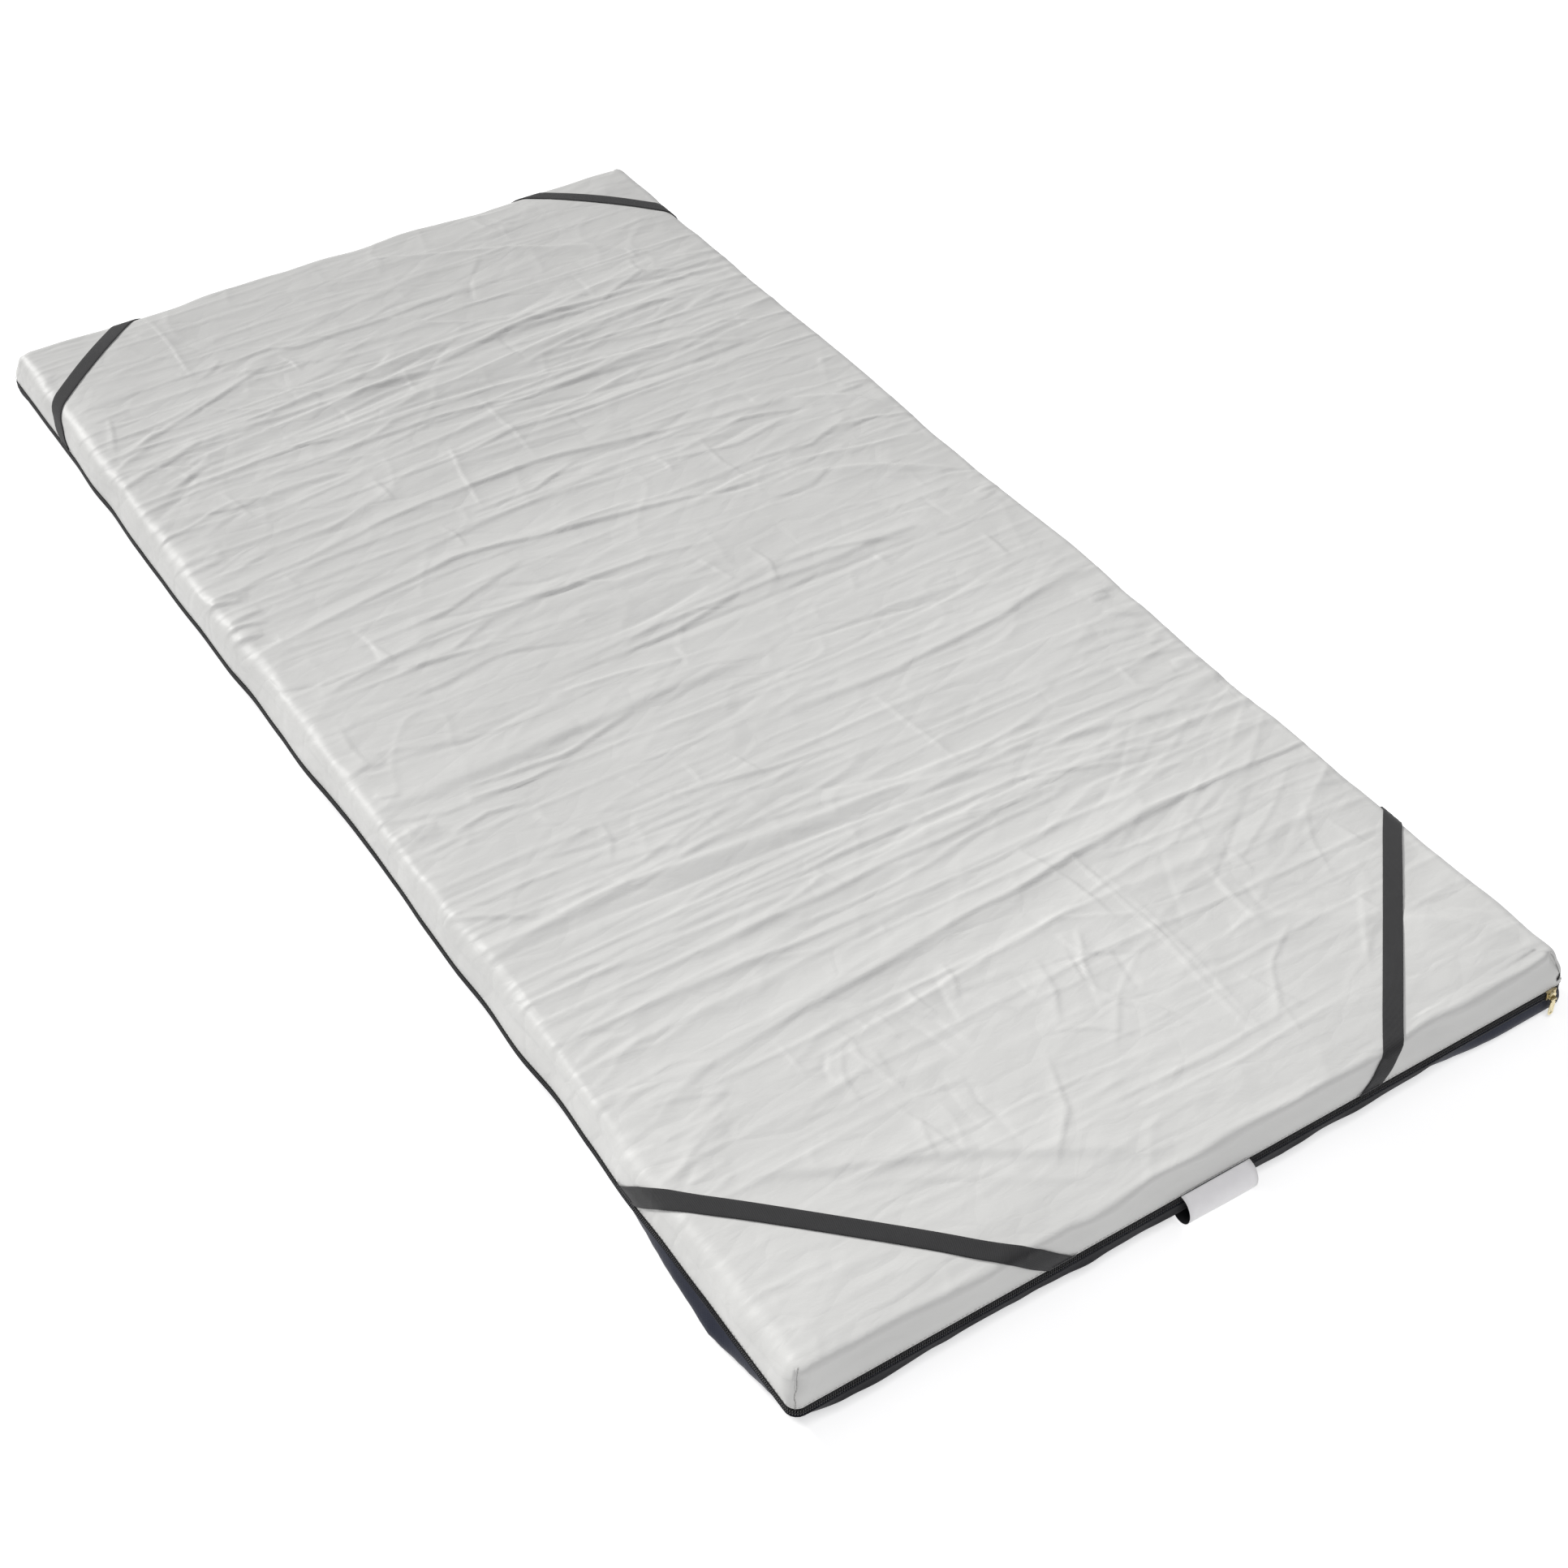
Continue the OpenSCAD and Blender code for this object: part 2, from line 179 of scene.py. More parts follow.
def sweep(name, origins, across, up, sections):
    """A strip swept along a path and capped at its ends. sections holds the closed outline's
    (across, up) offsets, once for the whole path or once for each of its points."""
    sections = np.asarray(sections, float)
    if sections.ndim == 2:
        sections = np.repeat(sections[None], len(origins), 0)
    n, k = sections.shape[:2]
    points = (origins[:, None] + across[:, None] * sections[..., :1]
              + up[:, None] * sections[..., 1:])
    faces = quads(n, k, close_columns=True).tolist()
    faces += [list(range(k))[::-1], [(n - 1) * k + i for i in range(k)]]
    along = running_length(origins)
    round_it = running_length(sections[n // 2])
    uv = np.stack(np.meshgrid(along, round_it, indexing="ij"), -1).reshape(-1, 2)
    return mesh_piece(name, points.reshape(-1, 3), faces, uv)


def capsule(length, radius, sides=6, rings=3):
    """Points and faces of a small round-ended rod along X."""
    angles = np.arange(sides) / sides * 2 * math.pi
    ends = np.linspace(0.15, 1, rings) * math.pi / 2
    xs = np.concatenate([-length / 2 + radius * (1 - np.sin(ends)),
                         length / 2 - radius * (1 - np.sin(ends[::-1]))])
    rs = radius * np.concatenate([np.sin(ends), np.sin(ends[::-1])])
    rows = [[(x, r * math.cos(a), r * math.sin(a)) for a in angles] for x, r in zip(xs, rs)]
    points = np.array(rows).reshape(-1, 3)
    n = len(xs)
    faces = quads(n, sides, close_columns=True).tolist()
    faces += [list(range(sides))[::-1], [(n - 1) * sides + i for i in range(sides)]]
    return points, faces


def scatter(name, unit, places):
    """Copies of a small unit at many places, each (origin, its X, its Y)."""
    points, faces = unit
    all_points, all_faces = [], []
    for k, (origin, x, y) in enumerate(places):
        turn = np.stack([x, y, np.cross(x, y)])
        all_points.append(np.asarray(origin) + points @ turn)
        all_faces += [[i + k * len(points) for i in f] for f in faces]
    return mesh_piece(name, np.concatenate(all_points), all_faces)


def joined(name, pieces):
    """One mesh made of several."""
    with bpy.context.temp_override(active_object=pieces[0], selected_editable_objects=pieces):
        bpy.ops.object.join()
    pieces[0].name = pieces[0].data.name = name
    return pieces[0]


def modifier(piece, kind, **settings):
    """Adds a modifier and returns it."""
    added = piece.modifiers.new(kind.title(), kind)
    for key, value in settings.items():
        setattr(added, key, value)
    return added


# ---------------------------------------------------------------- materials
class Shader:
    """A material being built: its node tree and its principled shader."""

    def __init__(self, name, **sockets):
        self.material = bpy.data.materials.new(name)
        self.material.use_nodes = True
        self.tree = self.material.node_tree
        self.surface = self.tree.nodes["Principled BSDF"]
        for socket, value in sockets.items():
            self.surface.inputs[socket.replace("_", " ")].default_value = value

    def node(self, kind, inputs=None, **settings):
        """Adds a node. An input's value may be another node's output."""
        added = self.tree.nodes.new("ShaderNode" + kind)
        for key, value in settings.items():
            setattr(added, key, value)
        for key, value in (inputs or {}).items():
            if isinstance(value, bpy.types.NodeSocket):
                self.tree.links.new(value, added.inputs[key])
            else:
                added.inputs[key].default_value = value
        return added

    def place(self, scale=(1, 1, 1), turn=0, source="Object"):
        """Coordinates, stretched by a scale for each axis."""
        where = self.node("TexCoord").outputs[source]
        mapping = self.node("Mapping", {"Vector": where, "Scale": scale, "Rotation": (0, 0, turn)})
        return mapping.outputs["Vector"]

    def noise(self, vector, scale, detail=3, distortion=0):
        made = self.node("TexNoise", {"Vector": vector, "Scale": scale, "Detail": detail,
                                      "Distortion": distortion})
        return made.outputs["Fac"]

    def between(self, value, low, high, from_low=0.0, from_high=1.0):
        """A value spread over a new range."""
        made = self.node("MapRange", {"Value": value, "From Min": from_low, "From Max": from_high,
                                      "To Min": low, "To Max": high})
        return made.outputs["Result"]

    def maths(self, operation, a, b=0.5):
        return self.node("Math", {0: a, 1: b}, operation=operation).outputs[0]

    def colours(self, value, *stops):
        """A colour that follows value, from (place, colour) stops."""
        ramp = self.node("ValToRGB", {"Fac": value})
        elements = ramp.color_ramp.elements
        while len(elements) < len(stops):
            elements.new(0.5)
        for element, (place, colour) in zip(elements, stops):
            element.position = place
            element.color = (*colour, 1)
        return ramp.outputs["Color"]

    def link(self, socket, value):
        self.tree.links.new(value, self.surface.inputs[socket])

    def tinted(self, colour, value, *stops):
        """Colours the surface in tints of one colour, from (place, tint) stops along value."""
        self.link("Base Color", self.colours(value, *((at, tint(colour, by)) for at, by in stops)))

    def bump(self, *layers):
        """Stacks (height, distance in metres, strength) layers into the surface normal."""
        normal = None
        for height, distance, strength in layers:
            inputs = {"Height": height, "Distance": distance, "Strength": strength}
            if normal is not None:
                inputs["Normal"] = normal
            normal = self.node("Bump", inputs).outputs["Normal"]
        self.link("Normal", normal)


def tint(colour, factor):
    """A colour made lighter or darker."""
    return tuple(min(1, c * factor) for c in colour)


def coated_sheet(name, colour, roughness):
    """Thin coated fabric: a smooth satin skin with fine crinkles over a faint weave."""
    s = Shader(name, Coat_Weight=0.03, Coat_Roughness=0.5, Specular_IOR_Level=0.32)
    clouds = s.noise(s.place(), 5, 4)
    s.tinted(colour, clouds, (0.3, 0.965), (0.7, 1.03))
    s.link("Roughness", s.between(s.noise(s.place(), 26, 3), roughness - 0.06, roughness + 0.1))
    warp = s.noise(s.place(), 9, 2)
    stretched = s.place((0.45, 1, 1))
    shifted = s.node("VectorMath", {0: stretched, 1: s.between(warp, 0, 0.05)}, operation="ADD")
    edges = s.node("TexVoronoi", {"Vector": shifted.outputs[0], "Scale": 22.0},
                   feature="DISTANCE_TO_EDGE").outputs["Distance"]
    facets = s.between(edges, 0, 1, 0, 0.12)
    crinkle = s.noise(s.place((0.5, 1, 1)), 70, 4, 0.6)
    grain = s.noise(s.place(), 900, 2)
    s.bump((facets, 0.0008, 0.4), (crinkle, 0.0011, 0.6), (grain, 0.00004, 0.5))
    return s.material


def woven(name, colour, pitch_along, pitch_across, relief=0.0003):
    """Woven narrow fabric with ribs across it, in coordinates measured in metres."""
    s = Shader(name, Roughness=0.8, Sheen_Weight=0.12, Sheen_Roughness=0.5,
               Specular_IOR_Level=0.3)
    ribs = s.node("TexWave", {"Vector": s.place(source="UV"), "Scale": 0.3142 / pitch_along,
                              "Distortion": 0.6, "Detail": 2.0, "Detail Scale": 2.0},
                  bands_direction="X").outputs["Fac"]
    lines = s.node("TexWave", {"Vector": s.place(source="UV"), "Scale": 0.3142 / pitch_across,
                               "Distortion": 0.4}, bands_direction="Y").outputs["Fac"]
    weave = s.maths("MULTIPLY", ribs, s.between(lines, 0.55, 1))
    fuzz = s.noise(s.place(source="UV"), 60, 4)
    mixed = s.maths("ADD", s.maths("MULTIPLY", weave, 0.6), s.maths("MULTIPLY", fuzz, 0.4))
    s.tinted(colour, mixed, (0.15, 0.7), (0.85, 1.35))
    s.bump((weave, relief, 0.8), (s.noise(s.place(source="UV"), 1500, 2), 0.0001, 0.5))
    return s.material


def stretch_knit(name, colour):
    """Two-way stretch fabric with a matt coating: a fine diagonal knit and soft crinkles."""
    s = Shader(name, Sheen_Weight=0.06, Sheen_Roughness=0.4, Specular_IOR_Level=0.25)
    clouds = s.noise(s.place(), 6, 4)
    s.tinted(colour, clouds, (0.3, 0.85), (0.7, 1.2))
    s.link("Roughness", s.between(s.noise(s.place(), 40, 3), 0.5, 0.66))
    rows = [s.node("TexWave", {"Vector": s.place(turn=t), "Scale": 260.0},
                   bands_direction="X").outputs["Fac"] for t in (0.6, -0.6)]
    knit = s.maths("MULTIPLY", rows[0], rows[1])
    s.bump((s.noise(s.place((1, 0.6, 1)), 45, 4, 0.5), 0.0008, 0.5), (knit, 0.0002, 0.6))
    return s.material


def cast_metal(name, colour, roughness):
    """Plated cast metal with fine scratches and slightly uneven shine."""
    s = Shader(name, Metallic=1.0, Coat_Weight=0.2, Coat_Roughness=0.15)
    patches = s.noise(s.place(), 300, 4)
    s.tinted(colour, patches, (0.25, 0.78), (0.65, 1.08))
    scratches = s.noise(s.place((1, 0.08, 0.3)), 3500, 3)
    s.link("Roughness", s.between(scratches, roughness - 0.08, roughness + 0.16, 0.3, 0.7))
    s.bump((scratches, 0.00002, 0.4), (patches, 0.00005, 0.3))
    return s.material


def open_foam(name, colour):
    """Open-cell foam: pores of two sizes."""
    s = Shader(name, Roughness=0.95, Sheen_Weight=0.15, Specular_IOR_Level=0.2)
    pores = s.node("TexVoronoi", {"Vector": s.place(), "Scale": 700.0}).outputs["Distance"]
    clouds = s.noise(s.place(), 12, 3)
    mixed = s.maths("ADD", s.maths("MULTIPLY", pores, 0.6), s.maths("MULTIPLY", clouds, 0.4))
    s.tinted(colour, mixed, (0.2, 0.8), (0.8, 1.1))
    s.bump((pores, 0.0006, 0.7), (s.noise(s.place(), 1600, 2), 0.0002, 0.5))
    return s.material


def moulded(name, colour):
    """Nylon monofilament, slightly glossy."""
    s = Shader(name, Coat_Weight=0.15, Coat_Roughness=0.3, Specular_IOR_Level=0.5)
    mottle = s.noise(s.place(), 500, 3)
    s.tinted(colour, mottle, (0.3, 0.75), (0.7, 1.35))
    s.link("Roughness", s.between(mottle, 0.34, 0.5))
    s.bump((mottle, 0.00005, 0.4))
    return s.material


def label_satin(name, colour):
    """Woven label satin: very fine lines across it, with a soft shine."""
    s = Shader(name, Roughness=0.45, Sheen_Weight=0.2, Coat_Weight=0.1, Coat_Roughness=0.35)
    lines = s.node("TexWave", {"Vector": s.place(source="UV"), "Scale": 420.0,
                               "Distortion": 0.3}, bands_direction="X").outputs["Fac"]
    clouds = s.noise(s.place(source="UV"), 70, 3)
    mixed = s.maths("ADD", s.maths("MULTIPLY", lines, 0.35), s.maths("MULTIPLY", clouds, 0.65))
    s.tinted(colour, mixed, (0.2, 0.93), (0.8, 1.04))
    s.bump((lines, 0.0001, 0.4), (clouds, 0.0008, 0.35))
    return s.material


def thread(name, colour):
    """Twisted sewing thread."""
    s = Shader(name, Roughness=0.7, Sheen_Weight=0.3, Specular_IOR_Level=0.3)
    twist = s.node("TexWave", {"Vector": s.place(turn=0.8), "Scale": 500.0},
                   bands_direction="X").outputs["Fac"]
    s.tinted(colour, twist, (0.1, 0.7), (0.9, 1.2))
    s.bump((twist, 0.0001, 0.6))
    return s.material


def finish(piece, body, node, material):
    """Gives a new piece its material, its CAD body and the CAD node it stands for."""
    piece.data.materials.clear()
    piece.data.materials.append(material)
    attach(piece, body)
    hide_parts(node)
    return piece


GREY = (0.60, 0.60, 0.587)
NAVY = (0.008, 0.011, 0.026)
CHARCOAL = (0.028, 0.028, 0.029)
BLACK = (0.012, 0.012, 0.014)
BRASS = (0.70, 0.59, 0.35)

grey_sheet = coated_sheet("Coated base sheet", GREY, 0.5)
navy_knit = stretch_knit("Navy stretch knit", NAVY)
flap_cloth = woven("Black flap cloth", (0.016, 0.016, 0.019), 0.0009, 0.0009)
tape_weave = woven("Black zip tape", BLACK, 0.0008, 0.0006)
elastic = woven("Charcoal elastic", CHARCOAL, 0.0011, 0.0008, relief=0.0004)
coil_nylon = moulded("Black nylon coil", (0.014, 0.014, 0.015))
brass = cast_metal("Brass", BRASS, 0.26)
bright_brass = cast_metal("Polished brass", (0.80, 0.70, 0.44), 0.2)
black_thread = thread("Black thread", (0.02, 0.02, 0.022))
grey_thread = thread("Grey thread", (0.42, 0.42, 0.41))
label_outside = label_satin("White label satin", (0.80, 0.79, 0.80))
label_inside = woven("Dark label back", (0.022, 0.022, 0.024), 0.0007, 0.0007)
white_thread = thread("White thread", (0.75, 0.75, 0.76))
cream_foam = open_foam("Cream foam", (0.80, 0.74, 0.55))
blue_foam = open_foam("Blue foam", (0.50, 0.60, 0.74))


# ---------------------------------------------------------------- the edge of the mattress
def perimeter(start, end, step):
    """Points and outward normals along the hem outline. Distance 0 is the near right corner's
    end of the near side, and it grows past the left side and the far side to the right side."""
    arc = CORNER_R * math.pi / 2
    sides = [
        (2 * STRAIGHT_X, (STRAIGHT_X, -HALF_L), (-1, 0)),
        (2 * STRAIGHT_Y, (-HALF_W, -STRAIGHT_Y), (0, 1)),
        (2 * STRAIGHT_X, (-STRAIGHT_X, HALF_L), (1, 0)),
        (2 * STRAIGHT_Y, (HALF_W, STRAIGHT_Y), (0, -1)),
    ]
    s = np.linspace(start, end, max(2, int(round((end - start) / step)) + 1))
    points, normals = np.zeros((len(s), 3)), np.zeros((len(s), 3))
    begin = 0
    for length, first, way in sides:
        way = np.array(way)
        out = np.array([way[1], -way[0]]) * -1
        on_side = (s >= begin - 1e-9) & (s <= begin + length + 1e-9)
        points[on_side, :2] = np.array(first) + np.outer(s[on_side] - begin, way)
        normals[on_side, :2] = out
        begin += length
        on_arc = (s > begin + 1e-9) & (s < begin + arc - 1e-9)
        angle = (s[on_arc] - begin) / CORNER_R
        turned = np.outer(np.cos(angle), out) + np.outer(np.sin(angle), way)
        centre = np.array(first) + way * length - out * CORNER_R
        points[on_arc, :2] = centre + turned * CORNER_R
        normals[on_arc, :2] = turned
        begin += arc
    return points, normals, s


def perimeter_distance(x, y):
    """The distance round the hem outline that belongs to each of its points."""
    points, _, s = perimeter(0, ROUND_IT, 5 * MM)
    found = [np.argmin((points[:, 0] - a) ** 2 + (points[:, 1] - b) ** 2) for a, b in zip(x, y)]
    return s[np.array(found)]


CORNER_ARC = CORNER_R * math.pi / 2
ZIP_END = 4 * STRAIGHT_X + 2 * STRAIGHT_Y + 2 * CORNER_ARC
ROUND_IT = ZIP_END + 2 * STRAIGHT_Y + 2 * CORNER_ARC


def upright(count):
    """Upward directions for a row of points."""
    return np.tile([0.0, 0.0, 1.0], (count, 1))


# ---------------------------------------------------------------- lines on the cover
def even(line, step):
    """A line with points at even distances."""
    s = running_length(line)
    t = np.linspace(0, s[-1], int(s[-1] / step) + 2)
    return np.stack([np.interp(t, s, line[:, k]) for k in range(line.shape[1])], 1)


def near_line(x, y, line):
    """Signed distance from points to a line, positive on its left, and how far along they are."""
    best, along = np.full(x.shape, 9.0), np.zeros(x.shape)
    lengths = running_length(line)
    for (x0, y0), (x1, y1), start, end in zip(line[:-1], line[1:], lengths[:-1], lengths[1:]):
        ux, uy = (x1 - x0) / (end - start), (y1 - y0) / (end - start)
        t = np.clip((x - x0) * ux + (y - y0) * uy, 0, end - start)
        dx, dy = x - x0 - t * ux, y - y0 - t * uy
        distance = np.hypot(dx, dy)
        closer = distance < np.abs(best)
        best = np.where(closer, np.where(ux * dy < uy * dx, -distance, distance), best)
        along = np.where(closer, (start + t) / lengths[-1], along)
    return best, along


# ---------------------------------------------------------------- the base cover's soft edge
def slump(inside):
    """How far the panel sinks towards its edge."""
    return 2.2 * MM * np.exp(-inside / 0.06)


def pressed(inside):
    """How deep a taut strap presses the soft edge."""
    return 3.2 * MM * np.exp(-(inside / 0.035) ** 2)


def wall_angle(roll):
    """How far a wall leans in from the vertical, where it runs on smoothly from its roll."""
    angle = np.zeros(np.shape(roll))
    for _ in range(8):
        rise = PANEL_Z - slump(0) - roll * (1 - np.sin(angle)) - BASE_HEM_Z
        angle = np.arctan2(TOP_INSET, rise)
    return angle


def roll_bottom(roll):
    """Height at which a roll of the given radius turns into the wall."""
    return PANEL_Z - slump(0) - roll * (1 - np.sin(wall_angle(roll)))


def over_edge(depth, roll):
    """Where the sheet is at a depth up from the hem: how far inside the hem outline, how high,
    and the angle of its outward direction above the horizontal."""
    lean = wall_angle(roll)
    rise = roll_bottom(roll) - BASE_HEM_Z
    wall = np.hypot(TOP_INSET, rise)
    bend = roll * (math.pi / 2 - lean)
    t = np.clip(depth / wall, 0, 1)
    turned = lean + np.clip((depth - wall) / roll, 0, math.pi / 2 - lean)
    flat = np.clip(depth - wall - bend, 0, None)
    inside = (TOP_INSET * t - 1.5 * MM * np.sin(math.pi * t) ** 2
              + roll * (np.cos(lean) - np.cos(turned)) + flat)
    sink = slump(0) - slump(flat + roll * np.cos(lean))
    height = BASE_HEM_Z + rise * t + roll * (np.sin(turned) - np.sin(lean)) + sink * (turned > lean)
    return inside, height, turned


# ---------------------------------------------------------------- straps
# Each strap: which corner it crosses, how far from it the two feet are sewn on the short and
# the long side, and how much its middle bows towards the corner
STRAPS = {
    "strap_near_left": (-1, -1, 282 * MM, 280 * MM, 8 * MM),
    "strap_near_right": (1, -1, 256 * MM, 288 * MM, -2 * MM),
    "strap_far_left": (-1, 1, 202 * MM, 192 * MM, 8 * MM),
    "strap_far_right": (1, 1, 198 * MM, 190 * MM, 6 * MM),
}
STRAP_W = 20 * MM
STRAP_T = 1.4 * MM


def strap_place(name, depth_x, depth_y):
    """Points on the sheet, and its outward directions, at depths up from the hems of the long
    side and the short side that a strap crosses."""
    sx, sy = STRAPS[name][:2]
    in_x, z_x, angle_x = over_edge(depth_x, ROLL_LEFT if sx < 0 else ROLL_RIGHT)
    in_y, z_y, angle_y = over_edge(depth_y, ROLL_NEAR if sy < 0 else ROLL_FAR)
    away = np.stack([sx * np.cos(angle_x), sy * np.cos(angle_y),
                     np.sin(np.minimum(angle_x, angle_y))], -1)
    away /= np.linalg.norm(away, axis=-1)[..., None]
    inside = np.minimum(in_x, in_y) - TOP_INSET
    height = z_x + z_y - PANEL_Z - pressed(inside) * away[..., 2]
    return np.stack([sx * (HALF_W - in_x), sy * (HALF_L - in_y), height], -1), away


def strap_run(name, step=6 * MM):
    """A strap's centre line as (depth from the long side, depth from the short side), from foot
    to foot, and the directions across it. It runs almost straight over both edges."""
    sx, sy, foot_x, foot_y, sag = STRAPS[name]
    start = np.array([0, foot_y - over_edge(1.0, ROLL_NEAR if sy < 0 else ROLL_FAR)[0] + 1])
    end = np.array([foot_x - over_edge(1.0, ROLL_LEFT if sx < 0 else ROLL_RIGHT)[0] + 1, 0])
    way = (end - start) / np.linalg.norm(end - start)
    start, end = start - way * 14 * MM, end + way * 14 * MM
    t = np.linspace(0, 1, int(np.linalg.norm(end - start) / step))
    bow = sag * np.sin(2 * math.pi * np.clip(np.minimum(t, 1 - t), 0, 0.25)) ** 2
    line = start + np.outer(t, end - start) - np.outer(bow, [0.7, 0.7])
    heading = headings(line)
    return line, np.stack([-heading[:, 1], heading[:, 0]], 1)


def strap_plan(name):
    """A strap's centre line in plan."""
    line, _ = strap_run(name, 14 * MM)
    line = np.clip(line, 0.8 * MM, None)
    return strap_place(name, line[:, 0], line[:, 1])[0][:, :2]


STRAP_PLANS = [strap_plan(name) for name in STRAPS]


def strap_nearness(x, y, width):
    """From 0 away from the straps to 1 under one of them."""
    near = np.zeros(x.shape)
    for line in STRAP_PLANS:
        distance, _ = near_line(x, y, line)
        near = np.maximum(near, np.exp(-(distance / width) ** 2))
    return near


# ---------------------------------------------------------------- wrinkles of the base cover
# Long folds, as plan points in millimetres with a height and half width in millimetres.
# The sheet rises gently on one side of each and falls off faster on the other.
FOLDS = [
    ([(-445, -112), (-250, -118), (60, -108)], 3.2, 26),
    ([(-160, -12), (80, -8), (310, -14), (325, -45)], 2.2, 9),
    ([(-190, -32), (90, -32), (300, -34)], -1.6, 6),
    ([(0, -213), (140, -220), (300, -207), (435, -180)], 2.6, 11),
    ([(-440, -292), (-367, -343)], 3.0, 7),
    ([(-442, -352), (-267, -353), (-67, -373), (150, -402)], 3.4, 15),
    ([(-442, -372), (-120, -392), (140, -420)], -1.8, 6),
    ([(-285, -430), (-60, -436), (157, -440)], 2.4, 7),
    ([(-120, -452), (30, -455), (162, -452), (168, -432)], 2.2, 6),
    ([(-290, -478), (67, -473), (240, -462)], 1.9, 8),
    ([(157, -400), (240, -420), (327, -440), (440, -462)], 2.6, 11),
    ([(160, -445), (300, -462), (435, -476)], 1.9, 7),
    ([(-442, -510), (-300, -507), (-180, -516)], 2.0, 9),
    ([(-360, -607), (-100, -590), (133, -567), (440, -552)], 2.8, 9),
    ([(-240, -655), (-100, -643), (110, -628)], 2.2, 8),
    ([(125, -560), (131, -700), (124, -860)], 1.5, 4),
    ([(136, -590), (140, -720), (133, -865)], 1.2, 4),
    ([(33, -727), (75, -790), (122, -858)], 1.3, 5),
    ([(100, -240), (103, -300), (114, -385)], 1.5, 5),
    ([(-80, -850), (80, -858), (240, -850)], 1.4, 5),
    ([(-70, -869), (90, -876), (250, -868)], 1.3, 5),
    ([(-370, -735), (-210, -810), (-25, -922)], 3.4, 20),
    ([(-300, -800), (-190, -850), (-90, -925)], 1.5, 16),
    ([(200, -725), (333, -808), (447, -930)], 3.6, 22),
    ([(-300, -210), (-262, -270), (-215, -322)], 1.8, 6),
    ([(-197, -207), (-176, -250), (-147, -290)], 1.4, 5),
    ([(-107, -207), (-80, -240), (-67, -290)], 1.5, 5),
    ([(-400, 767), (-163, 767), (-140, 749), (207, 757)], 1.9, 8),
    ([(-435, 640), (-320, 677), (-175, 737)], 2.1, 8),
    ([(20, 905), (167, 840), (300, 767), (375, 690)], 2.8, 11),
    ([(367, 690), (200, 652), (0, 622), (-360, 585)], 2.8, 10),
    ([(200, 650), (-20, 652), (-190, 634), (-360, 612)], 2.2, 8),
    ([(300, 637), (130, 638), (-60, 604)], 1.7, 7),
    ([(425, 605), (233, 596), (0, 566), (-165, 557)], 2.5, 9),
    ([(425, 580), (260, 574), (140, 566)], 1.7, 6),
    ([(-300, 533), (-40, 535), (200, 497), (310, 487), (436, 500)], 2.8, 10),
    ([(-300, 505), (-50, 505), (120, 482), (330, 468)], 2.1, 8),
    ([(-425, 456), (-260, 453), (-100, 455)], -2.2, 11),
    ([(0, 463), (150, 445), (300, 433), (436, 447)], -2.2, 10),
    ([(-270, 416), (-70, 412), (0, 428), (140, 418), (290, 421)], 2.2, 7),
    ([(-436, 312), (-200, 343), (0, 356), (120, 333), (327, 300)], 2.3, 9),
    ([(327, 300), (395, 262), (440, 195)], 2.6, 9),
    ([(-230, 265), (-60, 282), (100, 292)], 1.4, 8),
    ([(-442, 196), (-167, 233), (-50, 213), (100, 187), (240, 160)], 2.6, 9),
    ([(240, 160), (330, 118), (436, 42)], 3.0, 12),
    ([(-410, 88), (-250, 117), (40, 107), (120, 92)], 2.0, 8),
    ([(-272, 940), (-268, 850), (-276, 755)], 1.2, 4),
    ([(200, 935), (205, 895), (225, 858)], 1.2, 4),
    ([(5, 520), (8, 430), (4, 355)], 1.3, 5),
    ([(-72, 440), (-86, 380), (-96, 305)], 1.6, 6),
    ([(190, 285), (188, 230), (200, 175)], 1.2, 4),
]

# Families of short creases: seed, count, zone, headings in degrees, then lengths, heights and
# half widths in millimetres
SHORT_CREASES = [
    (61, 26, (-260, 70, -830, -640), (60, 125), (40, 100), (0.8, 1.6), (2.5, 4.5)),
    (62, 24, (-430, -340, -740, -480), (-30, 30), (35, 90), (0.6, 1.5), (3, 6)),
    (63, 18, (220, 440, -640, -480), (14, 36), (110, 260), (0.5, 1.2), (3, 5)),
    (64, 26, (-435, -320, 440, 730), (-25, 35), (35, 110), (0.9, 2.1), (3, 6)),
    (65, 22, (300, 440, 450, 700), (-25, 15), (60, 150), (0.8, 1.7), (3, 6)),
    (66, 44, (-400, 400, -330, 380), (-15, 15), (80, 240), (0.8, 2.0), (3.5, 7)),
    (67, 26, (-380, 380, 560, 930), (-60, 60), (40, 120), (0.7, 1.6), (3, 6)),
    (68, 26, (-100, 400, -860, -560), (20, 160), (50, 140), (0.7, 1.5), (2.5, 5)),
    (69, 44, (-440, 440, -900, 900), (70, 110), (25, 80), (0.6, 1.3), (2.5, 4.5)),
    (70, 14, (-438, -405, -200, 420), (-25, 25), (25, 60), (1.0, 2.4), (4, 8)),
    (71, 14, (405, 438, -480, 420), (-25, 25), (25, 60), (1.0, 2.4), (4, 8)),
    (72, 30, (-420, 420, -520, -340), (-12, 12), (120, 300), (0.6, 1.4), (3, 7)),
    (73, 26, (-420, 420, 420, 660), (-12, 12), (120, 300), (0.6, 1.4), (3, 7)),
]

# How much each layer of the relief counts, and where it levels off above and below its mean
SETTLED_SHARE, FOLD_SHARE, FOLD_NARROWING = 1.5, 1.5, 0.6
LARGE_SHARE, SMALL_SHARE = 0.9, 1.8
RELIEF, LESS_AT_GATHERED_SIDES = 0.62, 0.26
HIGHEST, LOWEST = 11 * MM, 6 * MM


